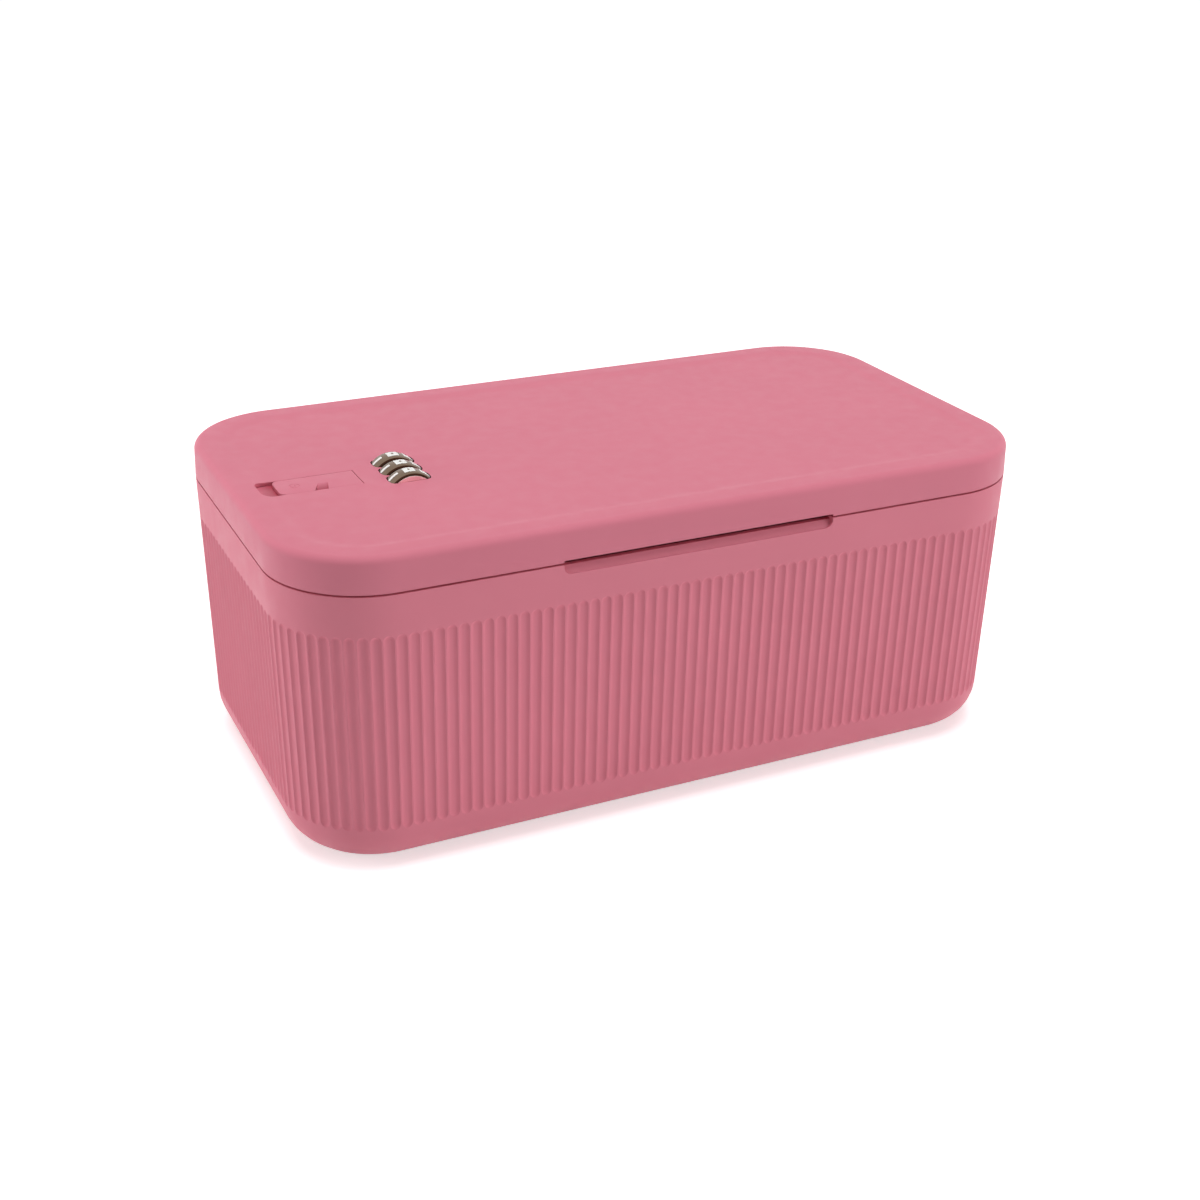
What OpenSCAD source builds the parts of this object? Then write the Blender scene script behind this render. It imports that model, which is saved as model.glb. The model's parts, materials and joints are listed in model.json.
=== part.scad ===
// Combination lock box: fluted body, hinged lid, three number dials and a sliding button.
// Millimetres. Origin on the floor under the middle of the body. +Z up, front is -Y, lock at -X.

/* [Box] */
// Length of the body at its rim
box_length = 260; // [240:1:320]
// Width of the body at its rim
box_width = 141; // [130:1:180]
// Height from the floor to the rim of the lid's top
box_height = 105.9; // [90:0.1:140]
// Radius of the upright corners at the rim
corner_radius = 31.5; // [26:0.5:38]
// Thickness of the walls of body and lid
wall = 3; // [2.8:0.1:3.4]
// Thickness of the body's floor
floor_thickness = 3; // [2.6:0.1:5]
// Radius that rounds the walls into the base
base_fillet = 13.5; // [8:0.5:16]
// Lean of the body's walls, in degrees
body_draft = 1.03; // [0:0.01:1.5]
// Gap between the body's rim and the lid
seam_gap = 0.5; // [0.3:0.1:1]

/* [Flutes] */
// Distance from flute to flute along the wall
flute_pitch = 3.86; // [3.4:0.01:6]
// Depth of one flute
flute_depth = 0.55; // [0.3:0.05:0.7]
// Width of one flute at the wall's face
flute_width = 2.7; // [2:0.1:3]
// Plain band between the rim and the flutes
upper_band = 12.8; // [8:0.1:20]
// Height of the flutes' lower ends above the base
lower_band = 14.2; // [13:0.1:24]

/* [Finger recess] */
// Length of the recess in the middle of the front
recess_length = 94; // [60:1:110]
// Depth of the recess into the wall
recess_depth = 2.6; // [1.5:0.1:2.8]
// How far the recess reaches below the body's rim
recess_drop = 3.2; // [2.8:0.1:6]
// How far the recess reaches up into the lid
recess_rise = 0.7; // [0.3:0.1:1.5]
// Radius of the recess's lower corners
recess_radius = 2.6; // [1:0.1:2.7]

/* [Lid] */
// Height of the lid's outer wall
lid_height = 11.4; // [11.2:0.1:14]
// Lean of the lid's wall, in degrees
lid_draft = 1.7; // [0:0.1:3]
// Radius of the lid's upper edge
lid_fillet = 2.5; // [1.5:0.1:3.5]
// Thickness of the lid's top
lid_skin = 2.6; // [2:0.1:2.8]
// Width of the flat rim round the sunk panel of the top
dish_inset = 7.8; // [5:0.1:12]
// Depth of the sunk panel
dish_depth = 0.6; // [0.3:0.05:0.8]
// Thickness of the liner plate
liner_thickness = 2; // [1.6:0.1:2.2]
// How far the liner's lip drops inside the body
lip_depth = 4; // [2:0.1:5]
// Thickness of the lip
lip_thickness = 2; // [1.4:0.1:2.6]

/* [Hinge] */
// Distance between the middles of the two hinges
hinge_spacing = 140; // [100:1:170]
// Outer radius of the knuckles
knuckle_radius = 2.4; // [2.2:0.05:2.5]
// Radius of the hinge pins
hinge_pin_radius = 1.1; // [0.8:0.05:1.3]
// Length of one of the body's knuckles
body_knuckle = 11; // [6:0.5:14]
// Length of the lid's knuckle
lid_knuckle = 13; // [8:0.5:16]
// Distance of the hinge axis behind the back wall
hinge_offset = 0.5; // [0.3:0.05:0.6]

/* [Dials] */
// Distance of the dials' axle from the left end of the box
axle_inset = 55.5; // [54:0.5:70]
// Place of the lock's middle line across the box
lock_y = -4; // [-10:0.5:6]
// Radius of a dial at its crown
dial_radius = 8.8; // [8.2:0.1:9]
// Width of a dial
dial_width = 6.8; // [6.4:0.1:7]
// Distance from dial to dial
dial_pitch = 7.8; // [7.8:0.1:9]
// How far the dials stand out of the sunk panel
dial_crown = 2.8; // [2.4:0.1:3.2]
// Radius of the axle
axle_radius = 1.5; // [1.2:0.1:1.8]

/* [Button and latch] */
// Distance of the button's slot from the left end of the box
slot_inset = 8.8; // [8:0.1:9]
// Length of the button
button_length = 26.5; // [22:0.1:27]
// Width of the button
button_width = 12.4; // [10:0.1:16]
// Travel of the button to the left
button_travel = 5; // [4:0.1:5.2]
// Travel of the axle and its tab when a new code is set
reset_travel = 2; // [1:0.1:2.4]
// Thickness of the latch's steel strip
strip_thickness = 1.5; // [1:0.1:1.6]
// Width of the hook
hook_width = 14; // [10:0.5:15]

/* [Feet] */
// Radius of a rubber pad
pad_radius = 6; // [4:0.5:8]
// How far the pads stand out of the base
pad_proud = 0.8; // [0.4:0.1:1.5]

/* [Hidden] */

$fn = 64;
eps = 0.01;
over = 1; // how far a cut runs past the face it opens
fit = 0.05; // radial clearance of a pin or axle in its hole
slide_gap = 0.2; // clearance of a flat face that slides along another
free_gap = 0.4; // clearance of a curved face that moves past another

body_colour = [0.82, 0.50, 0.56];
lid_colour = [0.86, 0.55, 0.62];
inner_colour = [0.80, 0.48, 0.54];
steel_colour = [0.72, 0.72, 0.72];
nickel_colour = [0.62, 0.60, 0.55];
rubber_colour = [0.25, 0.24, 0.25];

// Levels, from the floor up
base_z = pad_proud;
seam_z = box_height - lid_height;
rim_z = seam_z - seam_gap;
dish_z = box_height - dish_depth;
skin_z = dish_z - lid_skin;
liner_top_z = seam_z + liner_thickness;
hinge_z = (rim_z + seam_z) / 2;

// Middles of the corner arcs
arc_x = box_length / 2 - corner_radius;
arc_y = box_width / 2 - corner_radius;

// Hinges
hinge_y = box_width / 2 + hinge_offset;
hinge_step = (lid_knuckle + body_knuckle) / 2 + free_gap;
hinge_relief = knuckle_radius + 0.35;
lid_web = 7; // height of a knuckle's web above the axis
body_web = 11; // height of a knuckle's web below the axis
web_gap = 0.6; // between a web's flat end and the axis
web_angle = 20; // where a web leaves its barrel, from the level

// Distance of the outer faces from the line through the arcs' middles, at height z
function body_reach(z) = corner_radius - (rim_z - z) * tan(body_draft);
function lid_reach(z) = corner_radius - (z - seam_z) * tan(lid_draft);
lid_top_reach = lid_reach(box_height);

// Flutes
flute_radius = (pow(flute_width / 2, 2) + pow(flute_depth, 2)) / (2 * flute_depth);
flute_low_z = base_z + lower_band;
flute_high_z = rim_z - upper_band;
flute_end = sqrt(pow(flute_radius, 2) - pow(flute_radius - flute_depth, 2));
flutes_long = round(2 * arc_x / flute_pitch);
flutes_short = round(2 * arc_y / flute_pitch);
flutes_corner = round(corner_radius * PI / 2 / flute_pitch);

// Thick spots of the body's wall
pad_depth = 1.2; // how far a rubber pad sits in the base
pad_play = 0.1;
backing_depth = 2.5; // extra wall behind the finger recess
backing_margin = 3; // how far that wall runs past the recess's ends
backing_drop = 14;
backing_slope = 5;
sunk = 1.2; // how far a pad or boss is sunk in its wall

// Lid's inside
dish_slope = 1.5;
liner_reach = corner_radius - wall - 0.3;
lip_reach = corner_radius - wall - 0.6;
boss_radius = 3.4;
screw_radius = 1.25;
pilot_radius = screw_radius + fit;
passage_radius = screw_radius + 0.45;
liner_screw_x = [-arc_x, 0, arc_x];
liner_screw_inset = 18; // of the liner's screws from its long edges
liner_screw_y = arc_y + liner_reach - liner_screw_inset;
screw_reach = skin_z - seam_z - 1;
head_height = 1.4;
window_play = 0.3; // of the liner's openings and of what stands in them

// Dials, axle and housing, along the lock's middle line
axle_x = -box_length / 2 + axle_inset;
axle_z = dish_z + dial_crown - dial_radius;
dial_offsets = [-dial_pitch, 0, dial_pitch];
crown_radius = 12; // of the arc across a dial's rim
shoulder_radius = 1.2; // of a dial's edges
window_bar = 1.1; // least thickness of the lid between two dials
hub_radius = axle_radius + 1.4;
web_width = 3.2;
cam_radius = dial_radius - dial_crown - window_bar - free_gap;
hollow_radius = cam_radius + 2 * free_gap;
cam_width = 2;
gate_width = 1.6;
sleeve_gap = 0.3;
sleeve_start = -(dial_pitch - dial_pitch / 2 - cam_width / 2 - sleeve_gap);
sleeve_end = dial_pitch / 2 + cam_width / 2;
sleeves_length = 2 * dial_pitch + sleeve_end - sleeve_start;
tooth_thickness = dial_pitch - dial_width - window_play;

tub_wall = 1.6;
tub_margin = 2.8; // between the front dial and the housing's front wall
tub_front = -(dial_pitch + dial_width / 2 + tub_margin);
spring_start = dial_pitch + sleeve_end + sleeve_gap;
spring_length = 5.4;
axle_spring_turns = 5;
spring_play = 0.1;
collar_start = spring_start + spring_length + spring_play;
collar_width = 1.2;
collar_radius = skin_z - axle_z - free_gap;
fork_start = collar_start + collar_width;
fork_width = 1.5;
fork_half = 4.5;
fork_rise = 2.8; // of its prongs above the axle's middle
tab_half = 3;
tab_drop = 2; // how far the tab comes out under the housing
tub_back = fork_start + fork_width + 0.7;
axle_front = tub_front - tub_wall + 0.5;
axle_back = tub_back + tub_wall + reset_travel - 0.5;

// Button and latch, from left to right
track_rest = 0.7; // what is left of the open track when the button is pushed
track_gap = button_travel + track_rest;
slot_left = -box_length / 2 + slot_inset;
button_left = slot_left + track_gap;
button_right = button_left + button_length;
slot_right = button_right + slide_gap;
slot_radius = 3;
button_corner = slot_radius - track_rest; // radius of the button's left corners
flange_thickness = 1.8;
flange_top_z = skin_z - 0.3;
flange_z = flange_top_z - flange_thickness;
button_y = lock_y - 0.8; // middle line of the button's cap and of its slot
flange_margin = 1.7; // of the flange past half the button's width, from the lock's middle line
flange_left = slot_left + 0.5;
flange_right = axle_x - dial_radius - 2 * free_gap;
flange_half = button_width / 2 + flange_margin;
rail_width = 1.4;
rail_drop = 0.5; // of the rails below the flange
post_radius = 2.4;
button_screw_radius = 0.8;
button_screw_head = 1.65;
scoop_start = 10.9; // from the button's left end, at the front edge
scoop_length = 4.6;
scoop_depth = 3;
scoop_lean = 0.3; // shift of the scoop's sides to the right, for each millimetre to the back
liner_rib = 0.4;
strip_z = liner_top_z + liner_rib + slide_gap;
strip_top_z = strip_z + strip_thickness;
inner_left = -box_length / 2 + wall;
shank_left = inner_left + button_travel + 1;
toe_thickness = 1.8;
toe_length = button_travel - 0.4;
leg_right = axle_x - dial_radius - 4 * free_gap;
leg_left = leg_right - strip_thickness;
comb_gap = 0.9; // between the dials and the comb under them
comb_top_z = axle_z - dial_radius - comb_gap;
comb_z = comb_top_z - strip_thickness;
comb_reach = 10.5; // of the comb past the axle
comb_right = axle_x + comb_reach;
tooth_width = 3;
tooth_top_z = axle_z - cam_radius - free_gap;
button_screw_inset = 5;
button_screw_x = [button_left + button_screw_inset, button_right - button_screw_inset];
strip_margin = 1; // between the strip and the sides of its openings

// Housing
tub_left = leg_left - button_travel - 0.6;
tub_right = comb_right + 2.5;
tub_floor_z = comb_z - 0.5;
tub_base_z = tub_floor_z - tub_wall;
ear_radius = 4.2;
ear_thickness = 2;
ear_z = seam_z - ear_thickness;
ear_out = ear_radius + 0.4;
ear_x = [tub_left + ear_radius, tub_right - ear_radius];
ear_y = [lock_y + tub_front - tub_wall - ear_out, lock_y + tub_back + tub_wall + ear_out];

// Keeper
keeper_thickness = 1.8;
keeper_drop = 3.3; // of the keeper's top below the rim
keeper_top_z = rim_z - keeper_drop;
keeper_z = keeper_top_z - keeper_thickness;
keeper_bar_left = shank_left + strip_thickness + slide_gap;
keeper_bar = 3.5;
keeper_pad = 3.5;
keeper_half = 20;
keeper_window = hook_width / 2 + 1.5;
keeper_height = 6.5;
keeper_flange_low = keeper_top_z - keeper_height;
keeper_face = inner_left + keeper_pad;
pilot_depth = 2; // of the keeper's screw holes past the wall's inner face
keeper_screw_y = (keeper_half + keeper_window) / 2;
keeper_screw_z = keeper_flange_low + 2;
toe_z = keeper_z - free_gap - toe_thickness;

// Return spring beside the button
return_y = flange_half + 5.1;
return_z = flange_z - slide_gap;
return_radius = 1.7;
return_turns = 8;
spring_wire = 0.3;
seat_reach = 2.3; // of the spring's seats past its middle
seat_drop = 2; // of the spring's seats below its middle
seat_width = 1.5;
seat_left = button_right - 9.3; // left face of the button's seat
anchor_right = flange_left + 4; // right face of the lid's seat

module sweep_outline(low_z, high_z) {
    // Turns a half profile, drawn outwards from the corner arcs' middles, into a rounded box
    for (side = [0 : 3]) {
        along = side % 2 == 0 ? arc_x : arc_y;
        across = side % 2 == 0 ? arc_y : arc_x;
        rotate([0, 0, 90 * side]) translate([along, across, 0]) {
            rotate_extrude(angle = 90) children();
            rotate([90, 0, 0]) linear_extrude(2 * across) children();
        }
    }
    translate([-arc_x, -arc_y, low_z]) cube([2 * arc_x, 2 * arc_y, high_z - low_z]);
}

module body_profile(inset, low_z, high_z, fillet) {
    // The body's wall moved in by inset, with its foot rounded
    bend_z = low_z + fillet;
    flat = body_reach(bend_z) - inset - fillet;
    polygon([
        [0, bend_z], [flat + fillet, bend_z], [body_reach(high_z) - inset, high_z], [0, high_z]
    ]);
    translate([0, low_z]) square([flat, fillet]);
    intersection() {
        translate([flat, bend_z]) circle(r = fillet);
        translate([flat, low_z]) square(fillet);
    }
}

module lid_profile(inset, high_z, fillet) {
    // The lid's wall moved in by inset, with its upper edge rounded
    bend_z = high_z - fillet;
    flat = lid_reach(bend_z) - inset - fillet;
    polygon([
        [0, seam_z], [lid_reach(seam_z) - inset, seam_z], [flat + fillet, bend_z], [0, bend_z]
    ]);
    translate([0, bend_z]) square([flat, fillet]);
    intersection() {
        translate([flat, bend_z]) circle(r = fillet);
        translate([flat, bend_z]) square(fillet);
    }
}

module flute() {
    // One round-ended groove, cut into a wall whose face leans out along +X
    axis_reach = flute_radius - flute_depth;
    length = flute_high_z - flute_low_z - 2 * flute_end;
    translate([body_reach(flute_low_z) + axis_reach, 0, flute_low_z + flute_end])
        rotate([0, body_draft, 0]) {
            cylinder(r = flute_radius, h = length);
            sphere(r = flute_radius);
            translate([0, 0, length]) sphere(r = flute_radius);
        }
}

module flutes() {
    for (side = [0 : 3]) {
        along = side % 2 == 0 ? arc_x : arc_y;
        across = side % 2 == 0 ? arc_y : arc_x;
        count = side % 2 == 0 ? flutes_short : flutes_long;
        rotate([0, 0, 90 * side]) {
            for (i = [0 : count - 1])
                translate([along, -across + (i + 0.5) * 2 * across / count, 0]) flute();
            for (i = [0 : flutes_corner - 1])
                translate([along, across, 0]) rotate([0, 0, (i + 0.5) * 90 / flutes_corner]) flute();
        }
    }
}

module recess(low_z, high_z) {
    // Finger recess through the front wall's face, between two heights
    radius = min(recess_radius, recess_drop - eps);
    translate([0, -box_width / 2 + recess_depth, 0]) rotate([90, 0, 0])
        linear_extrude(recess_depth + over) {
            translate([-recess_length / 2 + radius, low_z])
                square([recess_length - 2 * radius, high_z - low_z]);
            translate([-recess_length / 2, low_z + radius])
                square([recess_length, high_z - low_z - radius]);
            for (x = [-1, 1])
                translate([x * (recess_length / 2 - radius), low_z + radius]) circle(r = radius);
        }
}

module along_hinge(length, extra) {
    // Centres a cylinder on the hinge axis, and its length on the middle of a hinge
    translate([-length / 2, hinge_y, hinge_z]) rotate([0, 90, 0]) cylinder(r = extra, h = length);
}

module knuckle(length, up) {
    // A barrel on the hinge axis with a web to the wall, above the axis or below it
    web_z = up ? lid_web : -body_web;
    side = up ? 1 : -1;
    along_hinge(length, knuckle_radius);
    translate([length / 2, 0, 0]) rotate([90, 0, -90]) linear_extrude(length)
        polygon([
            [-box_width / 2 + over, hinge_z + side * web_gap],
            [-box_width / 2 + over, hinge_z + web_z],
            [-hinge_y - knuckle_radius * cos(web_angle), hinge_z + side * knuckle_radius * sin(web_angle)],
            [-hinge_y, hinge_z + side * web_gap]
        ]);
}

module at_hinges() {
    for (x = [-1, 1]) translate([x * hinge_spacing / 2, 0, 0]) children();
}

module body_shell() {
    color(body_colour) difference() {
        union() {
            difference() {
                sweep_outline(base_z, rim_z) body_profile(0, base_z, rim_z, base_fillet);
                sweep_outline(base_z + floor_thickness, rim_z + over)
                    body_profile(wall, base_z + floor_thickness, rim_z + over, base_fillet - wall);
            }
            recess_backing();
            keeper_pads();
            at_hinges() for (side = [-1, 1])
                translate([side * hinge_step, 0, 0]) knuckle(body_knuckle, false);
        }
        flutes();
        recess(rim_z - recess_drop, rim_z + over);
        at_hinges() {
            along_hinge(lid_knuckle + 2 * free_gap, hinge_relief);
            along_hinge(lid_knuckle + 2 * body_knuckle + 2 * over, hinge_pin_radius + fit);
        }
        for (side = [-1, 1])
            translate([inner_left - pilot_depth, lock_y + side * keeper_screw_y, keeper_screw_z])
                rotate([0, 90, 0]) cylinder(r = pilot_radius, h = keeper_pad + pilot_depth + over);
        for (x = [-1, 1], y = [-1, 1])
            translate([x * arc_x, y * arc_y, base_z - over])
                cylinder(r = pad_radius + pad_play, h = pad_depth + over);
    }
}

module recess_backing() {
    // Thicker wall behind the finger recess
    low_z = rim_z - backing_drop;
    length = recess_length + 2 * backing_margin;
    outer = box_width / 2 - wall + sunk;
    inner = box_width / 2 - wall - backing_depth;
    translate([length / 2, 0, 0]) rotate([90, 0, -90]) linear_extrude(length)
        polygon([[outer, low_z], [outer, rim_z], [inner, rim_z], [inner, low_z + backing_slope]]);
}

module keeper_pads() {
    // Two thick spots inside the left wall that the keeper is screwed to
    width = keeper_half - keeper_window;
    for (side = [-1, 1])
        translate([inner_left - sunk, lock_y + side * keeper_screw_y - width / 2, keeper_flange_low - over])
            cube([keeper_pad + sunk, width, keeper_height + 2 * over]);
}

module keeper_bracket() {
    width = keeper_half - keeper_window;
    color(steel_colour) difference() {
        union() {
            translate([keeper_face, lock_y - keeper_half, keeper_z])
                cube([keeper_bar_left + keeper_bar - keeper_face, 2 * keeper_half, keeper_thickness]);
            for (side = [-1, 1])
                translate([keeper_face, lock_y + side * keeper_screw_y - width / 2, keeper_flange_low])
                    cube([keeper_thickness, width, keeper_height]);
        }
        translate([keeper_face - over, lock_y - keeper_window, keeper_z - over])
            cube([keeper_bar_left - keeper_face + over, 2 * keeper_window, keeper_thickness + 2 * over]);
        for (side = [-1, 1])
            translate([keeper_face - over, lock_y + side * keeper_screw_y, keeper_screw_z])
                rotate([0, 90, 0]) cylinder(r = passage_radius, h = keeper_thickness + 2 * over);
    }
}

module cross_recess(radius) {
    // Driver's cross, sunk into a screw's head
    for (turn = [0, 90]) rotate([0, 0, turn]) cube([1.5 * radius, 0.35 * radius, radius], center = true);
}

module screw(length, flush) {
    // Screw along +Z. A flush head lies above z = 0, a pan head below it
    head = 2 * screw_radius;
    difference() {
        union() {
            cylinder(r = screw_radius, h = length);
            if (flush)
                cylinder(r1 = head, r2 = screw_radius, h = screw_radius);
            else
                translate([0, 0, -head_height]) cylinder(r = head, h = head_height);
        }
        translate([0, 0, flush ? 0 : -head_height]) cross_recess(head);
    }
}

module keeper_screws() {
    color(steel_colour) for (side = [-1, 1])
        translate([keeper_face + keeper_thickness, lock_y + side * keeper_screw_y, keeper_screw_z])
            rotate([0, -90, 0]) screw(keeper_thickness + keeper_pad + 1.5, false);
}

module hinge_pin(side) {
    length = lid_knuckle + 2 * body_knuckle;
    color(steel_colour) translate([side * hinge_spacing / 2, 0, 0]) along_hinge(length, hinge_pin_radius);
}

module foot(x, y) {
    color(rubber_colour) translate([x * arc_x, y * arc_y, 0])
        cylinder(r = pad_radius, h = pad_proud + pad_depth);
}

module dial_profile(extra) {
    // Half section of a dial's rim, drawn outwards from the axle, grown by extra
    crown = crown_radius + extra;
    crown_x = dial_radius - crown_radius;
    half = (dial_width + (extra > 0 ? window_play : 0)) / 2;
    // Middle of the shoulder's arc, and the direction in which it meets the crown
    edge = shoulder_radius + extra;
    edge_x = crown_x + sqrt(pow(crown - edge, 2) - pow(half - edge, 2));
    meeting = asin((half - edge) / (crown - edge));
    difference() {
        intersection() {
            translate([crown_x, 0]) circle(r = crown);
            translate([0, -half]) square([dial_radius + extra, 2 * half]);
        }
        for (side = [-1, 1]) translate([edge_x, side * (half - edge)]) difference() {
            polygon([
                [0, 0], 2 * edge * [cos(meeting), side * sin(meeting)],
                2 * edge * [1, side], 2 * edge * [0, side]
            ]);
            circle(r = edge);
        }
    }
}

module at_dials() {
    // Places a shape drawn round Z on the axle, with its +Z end towards the back
    for (offset = dial_offsets) at_axle(offset) children();
}

module at_axle(offset) {
    translate([axle_x, lock_y + offset, axle_z]) rotate([-90, 0, 0]) children();
}

module button_slot() {
    half = button_width / 2 + slide_gap;
    translate([0, button_y, skin_z - over]) linear_extrude(lid_skin + dish_depth + 2 * over) {
        translate([slot_left + slot_radius, -half])
            square([slot_right - slot_left - slot_radius, 2 * half]);
        translate([slot_left, -half + slot_radius])
            square([slot_radius + eps, 2 * half - 2 * slot_radius]);
        for (side = [-1, 1])
            translate([slot_left + slot_radius, side * (half - slot_radius)]) circle(r = slot_radius);
    }
}

module lid_bosses() {
    lid_screw_places() translate([0, 0, liner_top_z])
        cylinder(r = boss_radius, h = skin_z - liner_top_z + eps);
}

module lid_screw_places() {
    for (x = liner_screw_x, y = [-1, 1]) translate([x, y * liner_screw_y, 0]) children();
    for (x = ear_x, y = ear_y) translate([x, y, 0]) children();
}

module button_rails() {
    // Guides beside the button's flange, open where the spring's tab passes
    low_z = flange_z - rail_drop;
    height = skin_z - low_z + eps;
    rail_y = flange_half + slide_gap;
    rails_right = tub_left - tub_wall - free_gap;
    for (y = [lock_y - rail_y - rail_width, lock_y + rail_y])
        difference() {
            translate([flange_left + over, y, low_z])
                cube([rails_right - flange_left - over, rail_width, height]);
            if (y > lock_y)
                translate([seat_left - button_travel - free_gap, y - over, low_z - over])
                    cube([button_travel + seat_width + 2 * free_gap, rail_width + 2 * over, height + over]);
        }
    translate([anchor_right - seat_width, lock_y + return_y - seat_reach, return_z - seat_drop])
        cube([seat_width, 2 * seat_reach, skin_z - return_z + seat_drop + eps]);
}

module lid_cover() {
    color(lid_colour) difference() {
        union() {
            difference() {
                sweep_outline(seam_z, box_height) lid_profile(0, box_height, lid_fillet);
                translate([0, 0, -eps]) sweep_outline(seam_z, skin_z + eps)
                    lid_profile(wall, skin_z + eps, eps);
            }
            lid_bosses();
            button_rails();
            at_hinges() knuckle(lid_knuckle, true);
        }
        sweep_outline(dish_z, box_height + over) polygon([
            [0, dish_z], [lid_top_reach - dish_inset - dish_slope, dish_z],
            [lid_top_reach - dish_inset, box_height],
            [lid_top_reach - dish_inset, box_height + over], [0, box_height + over]
        ]);
        button_slot();
        at_dials() rotate_extrude() dial_profile(free_gap);
        at_axle(sleeve_start - dial_pitch - free_gap)
            cylinder(r = cam_radius + free_gap, h = sleeves_length + 2 * free_gap);
        recess(seam_z - recess_radius - over, seam_z + recess_rise);
        at_hinges() {
            for (side = [-1, 1])
                translate([side * hinge_step, 0, 0])
                    along_hinge(body_knuckle + 2 * free_gap, hinge_relief);
            along_hinge(lid_knuckle + 2 * over, hinge_pin_radius + fit);
        }
        lid_screw_places() translate([0, 0, liner_top_z - over])
            cylinder(r = pilot_radius, h = skin_z - liner_top_z);
    }
}

module lid_liner() {
    lip_z = seam_z - lip_depth;
    margin = tub_wall + window_play;
    cut = liner_thickness + liner_rib + lip_depth + 2 * over;
    color(inner_colour) difference() {
        union() {
            sweep_outline(seam_z, liner_top_z)
                translate([0, seam_z]) square([liner_reach, liner_thickness]);
            difference() {
                sweep_outline(lip_z, seam_z + eps)
                    translate([0, lip_z]) square([lip_reach, lip_depth + eps]);
                sweep_outline(lip_z - over, seam_z)
                    translate([0, lip_z - over]) square([lip_reach - lip_thickness, lip_depth + over]);
                lip_notches();
            }
            for (y = [-1, 1] * hook_width / 3)
                translate([button_left, lock_y + y - rail_width / 2, liner_top_z - eps])
                    cube([tub_left - button_left - tub_wall - over, rail_width, liner_rib + eps]);
        }
        // Way for the hook
        translate([-box_length / 2, lock_y - hook_width / 2 - strip_margin, lip_z - over])
            cube([shank_left + strip_thickness + 0.5 + box_length / 2, hook_width + 2 * strip_margin, cut]);
        // Way for the housing
        translate([tub_left - margin, lock_y + tub_front - margin, seam_z - over])
            cube([tub_right - tub_left + 2 * margin, tub_back - tub_front + 2 * margin, cut]);
        lid_screw_places() translate([0, 0, seam_z - over])
            cylinder(r = passage_radius, h = liner_thickness + 2 * over);
        for (x = liner_screw_x, y = [-1, 1])
            translate([x, y * liner_screw_y, seam_z])
                cylinder(r1 = 2 * screw_radius + fit, r2 = screw_radius + fit, h = screw_radius);
    }
}

module lip_notches() {
    // Gaps in the lip, for the thick wall behind the finger recess and for the keeper
    low_z = seam_z - lip_depth - 2 * over;
    height = lip_depth + 3 * over;
    half = recess_length / 2 + backing_margin + over;
    translate([-half, -box_width / 2, low_z]) cube([2 * half, wall + backing_depth + over, height]);
    translate([-box_length / 2, lock_y - keeper_half - over, low_z])
        cube([keeper_bar_left + keeper_bar + over + box_length / 2, 2 * keeper_half + 2 * over, height]);
}

module liner_screws() {
    color(steel_colour) for (x = liner_screw_x, y = [-1, 1])
        translate([x, y * liner_screw_y, seam_z]) screw(screw_reach, true);
}

module housing_screws() {
    color(steel_colour) for (x = ear_x, y = ear_y)
        translate([x, y, ear_z]) screw(screw_reach + ear_thickness, false);
}

module lock_housing() {
    depth = tub_back - tub_front;
    width = tub_right - tub_left;
    tub_top_z = skin_z - 0.3;
    half_slot = tab_half + window_play;
    way_half = max(hook_width / 2 + strip_margin, flange_half + free_gap);
    color(inner_colour) difference() {
        union() {
            translate([tub_left - tub_wall, lock_y + tub_front - tub_wall, tub_base_z])
                cube([width + 2 * tub_wall, depth + 2 * tub_wall, tub_top_z - tub_base_z]);
            for (x = ear_x, y = [0, 1]) {
                translate([x, ear_y[y], ear_z]) cylinder(r = ear_radius, h = ear_thickness);
                translate([x - ear_radius, y == 0 ? ear_y[0] : lock_y + tub_back, ear_z])
                    cube([2 * ear_radius, ear_out + tub_wall, ear_thickness]);
            }
        }
        translate([tub_left, lock_y + tub_front, tub_floor_z])
            cube([width, depth, tub_top_z - tub_floor_z + over]);
        // Way for the latch's strip and the button's flange over the left wall
        translate([tub_left - tub_wall - over, lock_y - way_half, liner_top_z])
            cube([tub_wall + 2 * over, 2 * way_half, tub_top_z - liner_top_z + over]);
        // Slot for the reset tab
        translate([axle_x - half_slot, lock_y + fork_start - reset_travel - window_play, tub_base_z - over])
            cube([2 * half_slot, reset_travel + fork_width + 2 * window_play, tub_wall + 2 * over]);
        at_axle(tub_front - tub_wall - over)
            cylinder(r = axle_radius + fit, h = depth + 2 * tub_wall + 2 * over);
        lid_screw_places() translate([0, 0, ear_z - over])
            cylinder(r = passage_radius, h = ear_thickness + 2 * over);
    }
}

module detent_spring() {
    // Leaf on the housing's right wall, with a bowed finger for each dial
    leaf = 0.4;
    bow = tub_right - leaf - axle_x - dial_radius - free_gap;
    finger = 4;
    bow_drop = 0.6; // of the fingers' middle below the axle
    color(steel_colour) {
        translate([tub_right - leaf, lock_y - dial_pitch - finger / 2, axle_z - bow_drop - bow - leaf])
            cube([leaf, 2 * dial_pitch + finger, skin_z - over - axle_z + bow_drop + bow + leaf]);
        for (offset = dial_offsets)
            translate([tub_right - leaf, lock_y + offset + finger / 2, axle_z - bow_drop])
                rotate([90, 0, 0])
                linear_extrude(finger) difference() {
                    circle(r = bow);
                    circle(r = bow - leaf);
                    translate([eps, -bow - over]) square(2 * bow + 2 * over);
                }
    }
}

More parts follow.
